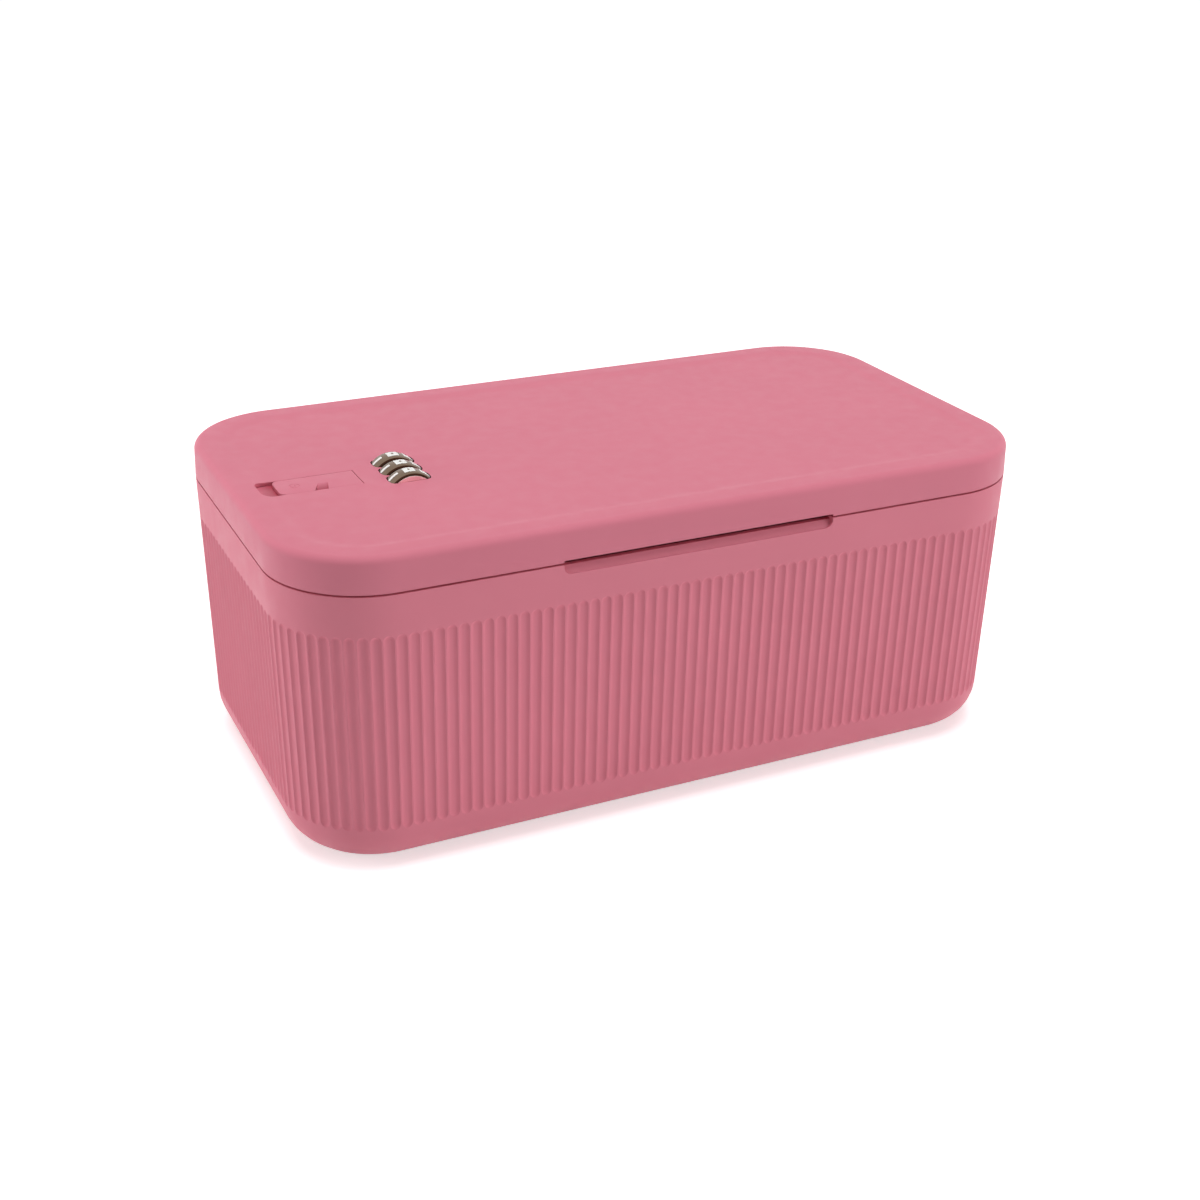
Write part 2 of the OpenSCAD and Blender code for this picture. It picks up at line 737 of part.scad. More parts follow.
module dial(index) {
    color(nickel_colour) at_axle(dial_offsets[index]) rotate_extrude() difference() {
        dial_profile(0);
        translate([0, -dial_width]) square([hub_radius, 2 * dial_width]);
        for (side = [-1, 1])
            translate([0, side * (web_width + dial_width) / 2 - dial_width / 2])
                square([hollow_radius, dial_width]);
    }
}

module cam_sleeve(index) {
    color(steel_colour) at_axle(dial_offsets[index]) difference() {
        union() {
            translate([0, 0, sleeve_start]) cylinder(r = hub_radius - fit, h = sleeve_end - sleeve_start);
            translate([0, 0, sleeve_end - cam_width]) cylinder(r = cam_radius, h = cam_width);
        }
        translate([0, 0, sleeve_start - over])
            cylinder(r = axle_radius + fit, h = sleeve_end - sleeve_start + 2 * over);
        // Gate for the comb's tooth
        translate([-gate_width / 2, hub_radius, sleeve_end - cam_width - over])
            cube([gate_width, cam_radius, cam_width + 2 * over]);
    }
}

module dial_axle() {
    color(steel_colour) {
        at_axle(axle_front) cylinder(r = axle_radius, h = axle_back - axle_front);
        at_axle(collar_start) cylinder(r = collar_radius, h = collar_width);
    }
}

module reset_tab() {
    // Fork behind the axle's collar, with a tab through the housing's floor
    low_z = tub_base_z - tab_drop;
    color(inner_colour) translate([0, lock_y + fork_start + fork_width, 0]) rotate([90, 0, 0])
        linear_extrude(fork_width) difference() {
            union() {
                translate([axle_x - tab_half, low_z]) square([2 * tab_half, axle_z - low_z]);
                translate([axle_x - fork_half, tub_floor_z + window_play])
                    square([2 * fork_half, axle_z + fork_rise - tub_floor_z - window_play]);
            }
            translate([axle_x, axle_z]) circle(r = axle_radius + fit);
            translate([axle_x - axle_radius - fit, axle_z])
                square([2 * (axle_radius + fit), fork_rise + over]);
        }
}

// Points of a ring of wire at turn t of a coil wound round Z
function coil_ring(radius, wire, rise, t, sides) = [
    for (k = [0 : sides - 1])
        let (a = 360 * k / sides, r = radius + wire * cos(a))
            [r * cos(360 * t), r * sin(360 * t), rise * t + wire * sin(a)]
];

module coil(radius, wire, length, turns) {
    // A wire wound round Z between two heights
    sides = 6;
    steps = 12;
    rings = steps * turns;
    rise = (length - 2 * wire) / turns;
    points = [for (i = [0 : rings]) each coil_ring(radius, wire, rise, i / steps, sides)];
    faces = [
        for (i = [0 : rings - 1], k = [0 : sides - 1])
            let (a = i * sides + k, b = i * sides + (k + 1) % sides)
                each [[a, a + sides, b], [b, a + sides, b + sides]],
        for (k = [1 : sides - 2]) [0, k, k + 1],
        for (k = [1 : sides - 2]) [rings * sides, rings * sides + k + 1, rings * sides + k]
    ];
    translate([0, 0, wire]) polyhedron(points, faces);
}

module axle_spring() {
    color(steel_colour) at_axle(spring_start)
        coil(axle_radius + 3 * spring_wire, spring_wire, spring_length, axle_spring_turns);
}

module return_spring() {
    length = seat_left - anchor_right - 2 * spring_play;
    color(steel_colour) translate([anchor_right + spring_play, lock_y + return_y, return_z])
        rotate([0, 90, 0]) coil(return_radius, spring_wire, length, return_turns);
}

module slide_button() {
    half = button_width / 2;
    scoop_end = half / 4; // where the scoop runs out, past the middle line
    color(lid_colour) difference() {
        union() {
            translate([0, button_y, flange_top_z - eps]) linear_extrude(dish_z - flange_top_z + eps) {
                for (side = [-1, 1])
                    translate([button_left + button_corner, side * (half - button_corner)])
                        circle(r = button_corner);
                translate([button_left, -half + button_corner])
                    square([button_corner + eps, button_width - 2 * button_corner]);
                translate([button_left + button_corner, -half])
                    square([button_length - button_corner, button_width]);
            }
            translate([flange_left, lock_y - flange_half, flange_z])
                cube([flange_right - flange_left, 2 * flange_half, flange_thickness]);
            for (x = button_screw_x)
                translate([x, lock_y, strip_top_z])
                    cylinder(r = post_radius, h = flange_z - strip_top_z + eps);
            translate([seat_left, lock_y + flange_half - eps, return_z - seat_drop])
                cube([
                    seat_width, return_y - flange_half + seat_reach, flange_top_z - return_z + seat_drop
                ]);
        }
        // Scoop for the finger, deepest at the front edge
        translate([button_left + scoop_start, button_y, dish_z]) intersection() {
            translate([-over, 0, 0]) rotate([90, 0, 90])
                linear_extrude(scoop_length + scoop_lean * button_width + 2 * over) polygon([
                    [-half - over, -scoop_depth], [scoop_end, 0], [scoop_end, over], [-half - over, over]
                ]);
            translate([0, 0, -scoop_depth - over]) linear_extrude(scoop_depth + 3 * over) polygon([
                for (y = [-half - over, scoop_end + over], x = y < 0 ? [0, scoop_length] : [scoop_length, 0])
                    [x + scoop_lean * (y + half), y]
            ]);
        }
        for (x = button_screw_x)
            translate([x, lock_y, strip_top_z - over])
                cylinder(r = button_screw_radius + fit, h = flange_top_z - strip_top_z + over);
    }
}

module latch_slider() {
    // Folded steel strip: hook at the left, comb under the dials at the right
    tooth_left = comb_right - tooth_width;
    toe_slope = 1.2;
    comb_width = hook_width / 2 + 1.5 * dial_pitch + strip_margin;
    tooth_y = (dial_pitch - tooth_thickness) / 2;
    color(steel_colour) difference() {
        union() {
            translate([0, lock_y + hook_width / 2, 0]) rotate([90, 0, 0]) linear_extrude(hook_width)
                polygon([
                    [shank_left, toe_z], [shank_left + strip_thickness + toe_length - toe_slope, toe_z],
                    [shank_left + strip_thickness + toe_length, toe_z + toe_slope],
                    [shank_left + strip_thickness + toe_length, toe_z + toe_thickness],
                    [shank_left + strip_thickness, toe_z + toe_thickness],
                    [shank_left + strip_thickness, strip_z], [leg_left, strip_z], [leg_left, comb_z],
                    [comb_right, comb_z], [comb_right, comb_top_z], [leg_right, comb_top_z],
                    [leg_right, strip_top_z], [shank_left, strip_top_z]
                ]);
            translate([leg_right - eps, lock_y - hook_width / 2, comb_z])
                cube([comb_right - leg_right + eps, comb_width, strip_thickness]);
            for (offset = dial_offsets)
                translate([tooth_left, lock_y + offset + tooth_y, comb_top_z - eps])
                    cube([tooth_width, tooth_thickness, tooth_top_z - comb_top_z + eps]);
        }
        for (x = button_screw_x) translate([x, lock_y, strip_z]) {
            cylinder(r1 = button_screw_head + fit, r2 = button_screw_radius + fit, h = button_screw_radius);
            translate([0, 0, -over])
                cylinder(r = button_screw_radius + fit, h = strip_thickness + 2 * over);
        }
    }
}

module button_screws() {
    color(steel_colour) for (x = button_screw_x) translate([x, lock_y, strip_z]) difference() {
        union() {
            cylinder(r1 = button_screw_head, r2 = button_screw_radius, h = button_screw_radius);
            cylinder(r = button_screw_radius, h = flange_top_z - strip_z - free_gap);
        }
        cross_recess(button_screw_head * 0.7);
    }
}

body_shell();
hinge_pin(-1);  // hinge_pin_left
hinge_pin(1);  // hinge_pin_right
keeper_bracket();
keeper_screws();
foot(-1, -1);  // foot_front_left
foot(1, -1);  // foot_front_right
foot(-1, 1);  // foot_rear_left
foot(1, 1);  // foot_rear_right
lid_cover();
lid_liner();
liner_screws();
lock_housing();
housing_screws();
detent_spring();
dial(0);  // dial_1
dial(1);  // dial_2
dial(2);  // dial_3
cam_sleeve(0);  // cam_sleeve_1
cam_sleeve(1);  // cam_sleeve_2
cam_sleeve(2);  // cam_sleeve_3
dial_axle();
reset_tab();
axle_spring();
slide_button();
latch_slider();
button_screws();
return_spring();
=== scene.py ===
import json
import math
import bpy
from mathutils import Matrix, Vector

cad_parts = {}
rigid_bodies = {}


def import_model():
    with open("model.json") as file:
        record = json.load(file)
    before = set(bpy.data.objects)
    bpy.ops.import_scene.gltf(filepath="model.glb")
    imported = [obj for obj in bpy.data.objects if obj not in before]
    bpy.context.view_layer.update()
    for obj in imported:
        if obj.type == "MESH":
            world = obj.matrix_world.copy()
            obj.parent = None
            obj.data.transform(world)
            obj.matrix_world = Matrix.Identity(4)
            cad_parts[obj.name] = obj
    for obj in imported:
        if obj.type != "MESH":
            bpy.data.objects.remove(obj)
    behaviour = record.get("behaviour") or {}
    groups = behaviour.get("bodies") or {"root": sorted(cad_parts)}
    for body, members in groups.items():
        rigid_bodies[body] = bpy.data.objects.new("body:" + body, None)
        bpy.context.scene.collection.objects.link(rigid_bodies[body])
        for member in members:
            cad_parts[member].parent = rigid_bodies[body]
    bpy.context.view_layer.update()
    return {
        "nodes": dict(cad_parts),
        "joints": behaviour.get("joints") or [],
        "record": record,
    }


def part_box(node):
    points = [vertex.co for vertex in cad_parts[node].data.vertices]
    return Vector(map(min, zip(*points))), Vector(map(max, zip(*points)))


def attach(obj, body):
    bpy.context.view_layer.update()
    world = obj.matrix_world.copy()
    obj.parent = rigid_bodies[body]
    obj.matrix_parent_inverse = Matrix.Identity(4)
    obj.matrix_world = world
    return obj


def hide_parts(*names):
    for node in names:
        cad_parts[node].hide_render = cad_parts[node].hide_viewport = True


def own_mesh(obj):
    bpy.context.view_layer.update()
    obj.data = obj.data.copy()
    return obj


bl_info = {
    "name": "Combination Lock Box",
    "version": (1, 0, 0),
    "blender": (4, 5, 0),
    "location": "View3D > Sidebar > Lock Box",
    "description": "Models the shells, dials, button and finishes of a fluted combination lock box",
    "category": "Add Mesh",
}

import bmesh
import bpy
from bpy.props import FloatProperty, FloatVectorProperty, IntProperty, PointerProperty
from mathutils import Matrix, Vector

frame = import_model()

MM = 0.001
QUARTER = math.pi / 2
JOINTS = {joint["name"]: joint for joint in frame["joints"]}

# Levels and reaches of the box, read from the frame
HALF_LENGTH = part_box("body_shell")[1].x
HALF_WIDTH = -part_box("body_shell")[0].y
BASE_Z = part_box("body_shell")[0].z
TOP_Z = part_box("lid_cover")[1].z
HINGE = Vector(JOINTS["lid_hinge"]["pos_m"])
AXLE = Vector(JOINTS["middle_dial_turn"]["pos_m"])

# Bodies that the dials and the other nodes ride on
DIAL_BODIES = {"dial_1": "front_dial", "dial_2": "middle_dial", "dial_3": "rear_dial"}
NODE_BODY = {
    node: body for body, nodes in frame["record"]["behaviour"]["bodies"].items() for node in nodes
}

# Nodes that are finished alike, and the rounding of their edges
FEET = ("foot_front_left", "foot_front_right", "foot_rear_left", "foot_rear_right")
MOULDINGS = {"lid_liner": 0.3 * MM, "lock_housing": 0.3 * MM, "reset_tab": 0.2 * MM}
STEEL_SHEETS = ("keeper_bracket", "latch_slider")
STEEL_TURNINGS = (
    "hinge_pin_left", "hinge_pin_right", "keeper_screws", "liner_screws", "housing_screws",
    "button_screws", "dial_axle", "cam_sleeve_1", "cam_sleeve_2", "cam_sleeve_3",
)
SHEET_EDGE = 0.12 * MM
TURNING_EDGE = 0.08 * MM
WIRE_EDGE = 0.02 * MM

# Radius of the heads of the liner's and the housing's screws
SCREW_HEAD = 2.5 * MM

# Reach of a cutting tool past the surface that it cuts
CUT = 1 * MM

# Depth by which a joined block sinks into the wall that carries it
SINK = 1.2 * MM

# Distance that keeps two faces from lying in one plane, and up to which two places are one
HAIR = 0.01 * MM

# Angles between two faces up to which they are one face, or are shaded as one
FLAT_ANGLE = math.radians(0.5)
SMOOTH_ANGLE = math.radians(32)

# Values between which most of a noise lies
NOISE_SPAN = (0.3, 0.7)

# Picture width in pixels and sensor width of the camera
PICTURE = 1200
SENSOR = 36 * MM

# Each lamp's azimuth and elevation in degrees, its distance, width and height
LAMPS = {
    "left_lamp": (-108, 8, 1.5, 0.9, 0.5),
    "rear_lamp": (-130, 8, 1.5, 0.9, 0.5),
    "right_lamp": (50, 8, 1.5, 0.9, 0.5),
    "front_lamp": (-35, 8, 1.8, 0.9, 0.5),
    "top_lamp": (0, 90, 1.6, 1.4, 1.4),
    "high_lamp": (-30, 55, 1.8, 1.0, 1.0),
}

# Cells of each number, row by row from its top, three columns wide
FIGURES = (
    "111111101111111", "010010010010010", "111001111100111", "111001111001111", "101101111001001",
    "111100111001111", "111100111101111", "111001001001001", "111101111101111", "111101111001111",
)


def size(label, text, millimetres):
    return FloatProperty(
        name=label, description=text, default=millimetres * MM, min=0, unit="LENGTH", precision=5
    )


def angle(label, text, degrees):
    return FloatProperty(
        name=label, description=text, default=math.radians(degrees), subtype="ANGLE"
    )


def share(label, text, value):
    return FloatProperty(
        name=label, description=text, default=value, min=0, max=1, subtype="FACTOR"
    )


def tint(label, text, red, green, blue):
    return FloatVectorProperty(
        name=label, description=text, default=(red, green, blue), min=0, max=1, size=3,
        subtype="COLOR",
    )


def power(label, text, value):
    return FloatProperty(name=label, description=text, default=value, min=0, precision=3)


def pixel(label, text, value):
    return FloatProperty(name=label, description=text, default=value, subtype="PIXEL")


class BodySettings(bpy.types.PropertyGroup):
    corner_radius: size("Corner radius", "Radius of the upright corners", 31.5)
    wall: size("Wall", "Thickness of the walls", 3)
    floor: size("Floor", "Thickness of the floor", 3)
    foot_radius: size("Foot radius", "Radius between the walls and the base", 13.5)
    rim_radius: size("Rim radius", "Rounding of the rim's edges", 0.2)
    draft: angle("Draft", "Lean of the walls", 1.03)
    seam: size("Seam", "Gap between the body and the lid", 0.62)
    flute_count: IntProperty(name="Flutes", description="Flutes all round", default=194, min=8)
    flute_share: share("Flute share", "Share of its pitch that a flute takes", 0.88)
    flute_slope: size("Flute slope", "Width of a flute's hollow side", 1.35)
    flute_depth: size("Flute depth", "Depth of a flute", 0.62)
    upper_band: size("Upper band", "Plain band over the flutes", 12.8)
    lower_band: size("Lower band", "Plain band under the flutes", 14.2)
    backing_depth: size("Backing depth", "Extra wall behind the finger recess", 0.8)
    backing_reach: size("Backing reach", "Reach of that wall past the recess's ends", 3)
    backing_height: size("Backing height", "Height of that wall under the rim", 14)
    backing_slope: size("Backing slope", "Height over which that wall fades out", 5)
    keeper_pad: size("Keeper pad", "Height of the pads that carry the keeper", 3.5)
    keeper_margin: size("Keeper margin", "Reach of the pads over and under the keeper", 1)
    keeper_share: share("Keeper share", "Share of the keeper's length that each pad takes", 0.28)
    pad_depth: size("Pad depth", "Depth of the rubber pads' pockets", 1.2)
    pad_gap: size("Pad gap", "Room round a rubber pad in its pocket", 0.1)


class RecessSettings(bpy.types.PropertyGroup):
    length: size("Length", "Length of the finger recess", 94)
    depth: size("Depth", "Depth of the finger recess", 2.6)
    drop: size("Drop", "Height of the recess under the rim", 3.2)
    rise: size("Rise", "Height of the recess in the lid", 0.7)
    radius: size("Radius", "Radius of the recess's lower corners", 2.6)
    foot: size("Foot", "Depth of the recess at its lower edge", 0.5)
    lid_depth: size("Lid depth", "Depth of the recess in the lid", 3.4)
    slit: size("Slit", "Height of the dark slit at the recess's back, under the rim", 0.9)


class HingeSettings(bpy.types.PropertyGroup):
    spacing: size("Spacing", "Distance between the two hinges", 140)
    radius: size("Radius", "Radius of a knuckle", 2.4)
    edge: size("Edge", "Rounding of a knuckle's ends", 0.3)
    pin: size("Pin", "Radius of the pins' bore", 1.15)
    body_length: size("Body knuckle", "Length of a knuckle on the body", 11)
    lid_length: size("Lid knuckle", "Length of a knuckle on the lid", 13)
    gap: size("Gap", "Gap between knuckles", 0.4)
    relief: size("Relief", "Room round a knuckle in the facing wall", 0.35)
    body_web: size("Body web", "Height of the web under a body knuckle", 11)
    lid_web: size("Lid web", "Height of the web over a lid knuckle", 7)
    web_reach: share("Web reach", "Share of a knuckle's radius that its web reaches out", 0.9)
    web_start: share("Web start", "Share of a knuckle's radius at which its web starts", 0.3)
    web_foot: size("Web foot", "Depth of the web at its far end", 0.2)


class LidSettings(bpy.types.PropertyGroup):
    draft: angle("Draft", "Lean of the lid's wall", 1.7)
    edge_radius: size("Edge radius", "Rounding of the lid's upper edge", 2.5)
    seam_radius: size("Seam radius", "Rounding of the lid's lower edges", 0.12)
    rim_width: size("Rim width", "Width of the level rim round the dish", 7.8)
    dish_depth: size("Dish depth", "Depth of the dished top", 0.6)
    dish_slope: size("Dish slope", "Width of the step into the dish", 4.4)
    skin: size("Skin", "Thickness of the top", 2.6)
    slot_radius: size("Slot radius", "Radius of the slot's left corners", 3)
    slot_inset: size("Slot inset", "Distance of the slot from the lid's end", 8.8)
    window_gap: size("Window gap", "Gap round a dial in its window", 0.4)
    window_side: size("Window side", "Gap beside a dial in its window", 0.15)
    boss_radius: size("Boss radius", "Radius of a screw boss", 3.4)
    boss_sink: size("Boss sink", "Depth of a boss's foot in the liner", 0.4)
    pilot: size("Pilot", "Radius of the screws' pilot holes", 1.3)


class DialSettings(bpy.types.PropertyGroup):
    crown_radius: size("Crown radius", "Radius of the arc across a dial's rim", 12)
    shoulder: size("Shoulder", "Rounding of a dial's edges", 1.2)
    hollow: size("Hollow", "Radius of the hollow in a dial's side", 5.3)
    web: size("Web", "Thickness of a dial's web", 3.2)
    bore: size("Bore", "Radius of a dial's bore", 2.9)
    # Past this turn a dial's faces get the near-black painted shade
    dark_turn: share("Dark turn", "Sideways part of a face's normal past which it is dark", 0.62)
    bright_turn: share("Bright turn", "The same for the outer dial's bright side", 0.95)
    figure: size("Figure", "Height of a number along the rim", 3.7)
    figure_width: size("Figure width", "Width of a number across the rim", 3.5)
    figure_corner: size("Figure corner", "Rounding of a number's corners", 0.25)
    figure_rise: size("Figure rise", "Height of the white numbers over the metal", 0.06)


class ButtonSettings(bpy.types.PropertyGroup):
    width: size("Width", "Width of the button", 12.4)
    length: size("Length", "Length of the button", 26.5)
    shift: FloatProperty(
        name="Shift", description="Place of the cap across the lock's middle line",
        default=-0.8 * MM, unit="LENGTH", precision=5,
    )
    corner: size("Corner", "Radius of the button's left corners", 2.3)
    edge: size("Edge", "Rounding of the button's upper edge", 0.12)
    scoop_start: size("Scoop start", "Distance of the scoop from the button's left end", 10.3)
    scoop_length: size("Scoop length", "Length of the scoop", 4.6)
    scoop_depth: size("Scoop depth", "Depth of the scoop at the front edge", 2.8)
    scoop_lean: size("Scoop lean", "Shift of the scoop's rear end to the right", 2.2)
    scoop_taper: share("Scoop taper", "Width of the scoop's rear end, as a share of its front", 0.7)
    scoop_end: share("Scoop end", "Share of the half width between scoop and middle", 0.125)
    mark_start: size("Mark", "Distance of the ring and dot from the button's left end", 6)
    mark_radius: size("Ring", "Radius of the ring", 1.5)
    mark_line: size("Ring line", "Radius of the ring's line", 0.18)
    mark_dot: size("Dot", "Radius of the dot in the ring", 0.35)
    mark_rise: size("Mark rise", "Height of the middle of the ring and dot over the cap", 0.06)
    track: size("Track", "Open track at the button's left", 5.7)
    gap: size("Gap", "Room beside the button", 0.1)
    end_gap: size("End gap", "Room at the button's right end", 0.16)
    flange: size("Flange", "Thickness of the button's flange", 3.5)
    flange_drop: size("Flange drop", "Depth of the flange's lower face under the cap's top", 4.7)
    flange_gap: size("Flange gap", "Room beside the flange", 0.2)
    flange_edge: size("Flange edge", "Rounding of the flange's edges", 0.2)
    dial_gap: size("Dial gap", "Gap between the flange and the dials", 0.8)
    stem_radius: size("Stem radius", "Radius of the stems down to the latch", 2.4)
    stem_inset: size("Stem inset", "Distance of the stems from the cap's ends", 5)
    hole: size("Hole", "Radius of the screws' holes", 0.85)
    rail: size("Rail", "Width of the guides beside the flange", 1.4)
    rail_drop: size("Rail drop", "Reach of the guides below the flange", 0.5)
    rail_inset: size("Rail inset", "Distance of the guides from the flange's left end", 1)
    rail_gap: size("Rail gap", "Room at the ends of the guides", 0.4)
    seat_wall: size("Seat wall", "Thickness of the return spring's seats", 1.5)
    seat_gap: size("Seat gap", "Gap between the return spring and its seats", 0.1)
    seat_half: size("Seat half", "Half the width of the lid's spring seat", 2.3)
    seat_drop: size("Seat drop", "Reach of the lid's seat below the spring's middle", 2)
    seat_reach: size("Seat reach", "Reach of the button's seat below its flange", 2.2)


class FinishSettings(bpy.types.PropertyGroup):
    body: tint("Body", "Plastic of the body", 0.745, 0.228, 0.296)
    lid: tint("Lid", "Plastic of the lid", 0.720, 0.218, 0.290)
    inside: tint("Inside", "Plastic of the lid's inner parts", 0.690, 0.212, 0.285)
    nickel: tint("Nickel", "Dark metal of the dials' rims", 0.215, 0.152, 0.108)
    # Painted shade, not blackening: a near-black copy of the nickel on faces that turn sideways, where
    # the dials face each other and on their steep shoulders
    groove: tint("Groove", "Blackened metal where the dials face each other", 0.05, 0.02, 0.012)
    side: tint("Side", "Bright metal of the outer dial's open side", 0.95, 0.88, 0.82)
    # Painted shade, not dirt: a darker red laid where shade falls, in the scoop, on the slot's track
    # and on the liner's lip behind the seam; the next setting is its share at the darkest
    dust: tint("Dust", "Dirt that gathers in the scoop, the slot and the seam", 0.36, 0.035, 0.06)
    painted_shade_cover: share("Dust cover", "Share of the dirt at its thickest", 0.9)
    steel: tint("Steel", "Zinc-plated steel", 0.60, 0.60, 0.58)
    rubber: tint("Rubber", "Rubber pads", 0.045, 0.043, 0.045)
    enamel: tint("Enamel", "White numbers on the dials", 0.95, 0.95, 0.92)


class StageSettings(bpy.types.PropertyGroup):
    floor_size: FloatProperty(
        name="Floor", description="Side of the floor", default=12, min=1, unit="LENGTH"
    )
    floor_colour: tint("Floor colour", "Paint of the floor", 0.95, 0.95, 0.95)
    floor_lift: power("Floor lift", "Glow of the floor by the box, for camera and mirrors", 0.55)
    far_lift: power("Far lift", "The same glow where the lamps' light has run out", 0.95)
    lift_start: size("Lift start", "Distance from the middle up to which the floor is lit", 300)
    lift_end: size("Lift end", "Distance from the middle where the light has run out", 1900)
    world_strength: power("World", "Strength of the even light from all round", 0)
    left_lamp_power: power("Left lamp", "Power in watts", 6.5)
    rear_lamp_power: power("Rear lamp", "Power in watts", 2.8)
    right_lamp_power: power("Right lamp", "Power in watts", 8.3)
    front_lamp_power: power("Front lamp", "Power in watts", 0.5)
    top_lamp_power: power("Top lamp", "Power in watts", 23.2)
    high_lamp_power: power("High lamp", "Power in watts", 2.5)
    azimuth: angle("Azimuth", "Camera's turn from the front, to the right", -25.85)
    elevation: angle("Elevation", "Camera's height over the level", 24.917)
    roll: angle("Roll", "Camera's roll", 0.97)
    lens: size("Lens", "Focal length", 51.4457)
    distance: size("Distance", "Camera's distance from the seam's middle, along its view", 585.16)
    aim_across: pixel("Aim across", "Picture column of the seam's middle", 604.79)
    aim_down: pixel("Aim down", "Picture row of the seam's middle", 465.91)


def start_fresh():
    """Leaves edit mode with nothing selected."""
    if bpy.context.mode != "OBJECT":
        bpy.ops.object.mode_set(mode="OBJECT")
    bpy.ops.object.select_all(action="DESELECT")


def choose(piece):
    """Makes a piece the only selected and the active one."""
    start_fresh()
    piece.select_set(True)
    bpy.context.view_layer.objects.active = piece


def rename(piece, name):
    piece.name = piece.data.name = name
    return piece


def start_piece(name, add, place, span=(1, 1, 1), turn=(0, 0, 0), **options):
    """Adds a primitive, puts its place, turn and size in its mesh, and opens it for editing."""
    start_fresh()
    add(location=place, rotation=turn, **options)
    piece = rename(bpy.context.object, name)
    piece.scale = span
    bpy.ops.object.transform_apply(location=True, rotation=True, scale=True)
    bpy.ops.object.mode_set(mode="EDIT")
    return piece


def pick(kind, test=None):
    """Selects the vertices, edges or faces of the open mesh, or those that pass a test."""
    bpy.ops.mesh.select_mode(type=kind)
    bpy.ops.mesh.select_all(action="DESELECT")
    mesh = bmesh.from_edit_mesh(bpy.context.edit_object.data)
    for part in {"VERT": mesh.verts, "EDGE": mesh.edges, "FACE": mesh.faces}[kind]:
        if test is None or test(part):
            part.select_set(True)
    mesh.select_flush_mode()
    bmesh.update_edit_mesh(bpy.context.edit_object.data)


def middle(part):
    """Middle of an edge's or a face's vertices."""
    return sum((vert.co for vert in part.verts), Vector()) / len(part.verts)


def select_whole():
    bpy.ops.mesh.select_all(action="SELECT")


def face_outwards():
    """Turns all faces of the open mesh outwards."""
    select_whole()
    bpy.ops.mesh.normals_make_consistent(inside=False)


def open_whole(piece):
    """Opens a piece for editing with all of it selected."""
    choose(piece)
    bpy.ops.object.mode_set(mode="EDIT")
    select_whole()


def near(value, target):
    return abs(value - target) < HAIR


def edge_at(edge, height):
    return all(near(vert.co.z, height) for vert in edge.verts)


def sharp(edge):
    """Tells whether two faces meet steeply at an edge."""
    return edge.calc_face_angle(0) > QUARTER / 2


def open_edge_at(height):
    """A test for the edges of an open border at one height."""
    return lambda edge: len(edge.link_faces) == 1 and edge_at(edge, height)


def round_over(inner, rise, radius, steps):
    """Profile points of a round edge, which turns inwards from a height."""
    turns = [QUARTER * i / steps for i in range(1, steps + 1)]
    return [
        (inner + radius * (1 - math.cos(turn)), rise + radius * math.sin(turn)) for turn in turns
    ]


def step_in(profile):
    """Insets the selected face along a profile of (distance in, height) points."""
    for (inner, low), (outer, high) in zip(profile, profile[1:]):
        bpy.ops.mesh.inset(thickness=outer - inner, depth=high - low)


def close_flat(height, strip=1 * MM):
    """Closes the open border at a height with a level strip and, selected, a face inside it."""
    pick("EDGE", open_edge_at(height))
    bpy.ops.mesh.edge_face_add()
    step_in([(0, 0), (strip, 0)])


def extrude(x=0.0, y=0.0, z=0.0):
    bpy.ops.mesh.extrude_region_move(TRANSFORM_OT_translate={"value": (x, y, z)})


def repeat(*steps):
    """Copies what is selected, each time by one more step from the last copy."""
    for step in steps:
        bpy.ops.mesh.duplicate_move(TRANSFORM_OT_translate={"value": step})


def apply_modifier(piece, kind, **settings):
    choose(piece)
    bpy.ops.object.modifier_add(type=kind)
    modifier = piece.modifiers[-1]
    for name, value in settings.items():
        setattr(modifier, name, value)
    bpy.ops.object.modifier_apply(modifier=modifier.name)


def join(pieces):
    """Makes one object of several and returns it."""
    choose(pieces[0])
    for piece in pieces[1:]:
        piece.select_set(True)
    bpy.ops.object.join()
    return pieces[0]


def combine(piece, operation, *tools):
    """Adds tools to a piece, or cuts them from it, and removes them."""
    tool = join(list(tools))
    apply_modifier(piece, "BOOLEAN", operation=operation, object=tool, solver="EXACT")
    bpy.data.objects.remove(tool)


def plate(name, width, height, place, turn=(0, 0, 0)):
    """A flat face, open for editing and selected."""
    return start_piece(
        name, bpy.ops.mesh.primitive_plane_add, place, (width, height, 1), turn, size=1
    )


def round_corners(radius, segments, test=None):
    """Rounds the corners of the open face, or those that pass a test, and selects the face."""
    pick("VERT", test)
    bpy.ops.mesh.bevel(affect="VERTICES", offset=radius, segments=segments)
    pick("FACE")


def round_edges(radius, segments, test=None):
    """Rounds the edges of the open mesh, or those that pass a test."""
    pick("EDGE", test)
    bpy.ops.mesh.bevel(affect="EDGES", offset=radius, segments=segments)


def block(name, low, high):
    """A box between two corners, open for editing and selected."""
    low, high = Vector(low), Vector(high)
    return start_piece(
        name, bpy.ops.mesh.primitive_cube_add, (low + high) / 2, high - low, size=1
    )


def rod(name, radius, length, place, turn=(0, 0, 0), sides=48):
    """A cylinder, open for editing and selected."""
    return start_piece(
        name, bpy.ops.mesh.primitive_cylinder_add, place, turn=turn,
        radius=radius, depth=length, vertices=sides,
    )


def feed(tree, node, feeds):
    """Sets a node's inputs to values, or links them to the outputs of other nodes."""
    for name, value in feeds.items():
        if isinstance(value, bpy.types.NodeSocket):
            tree.links.new(value, node.inputs[name])
        else:
            node.inputs[name].default_value = value


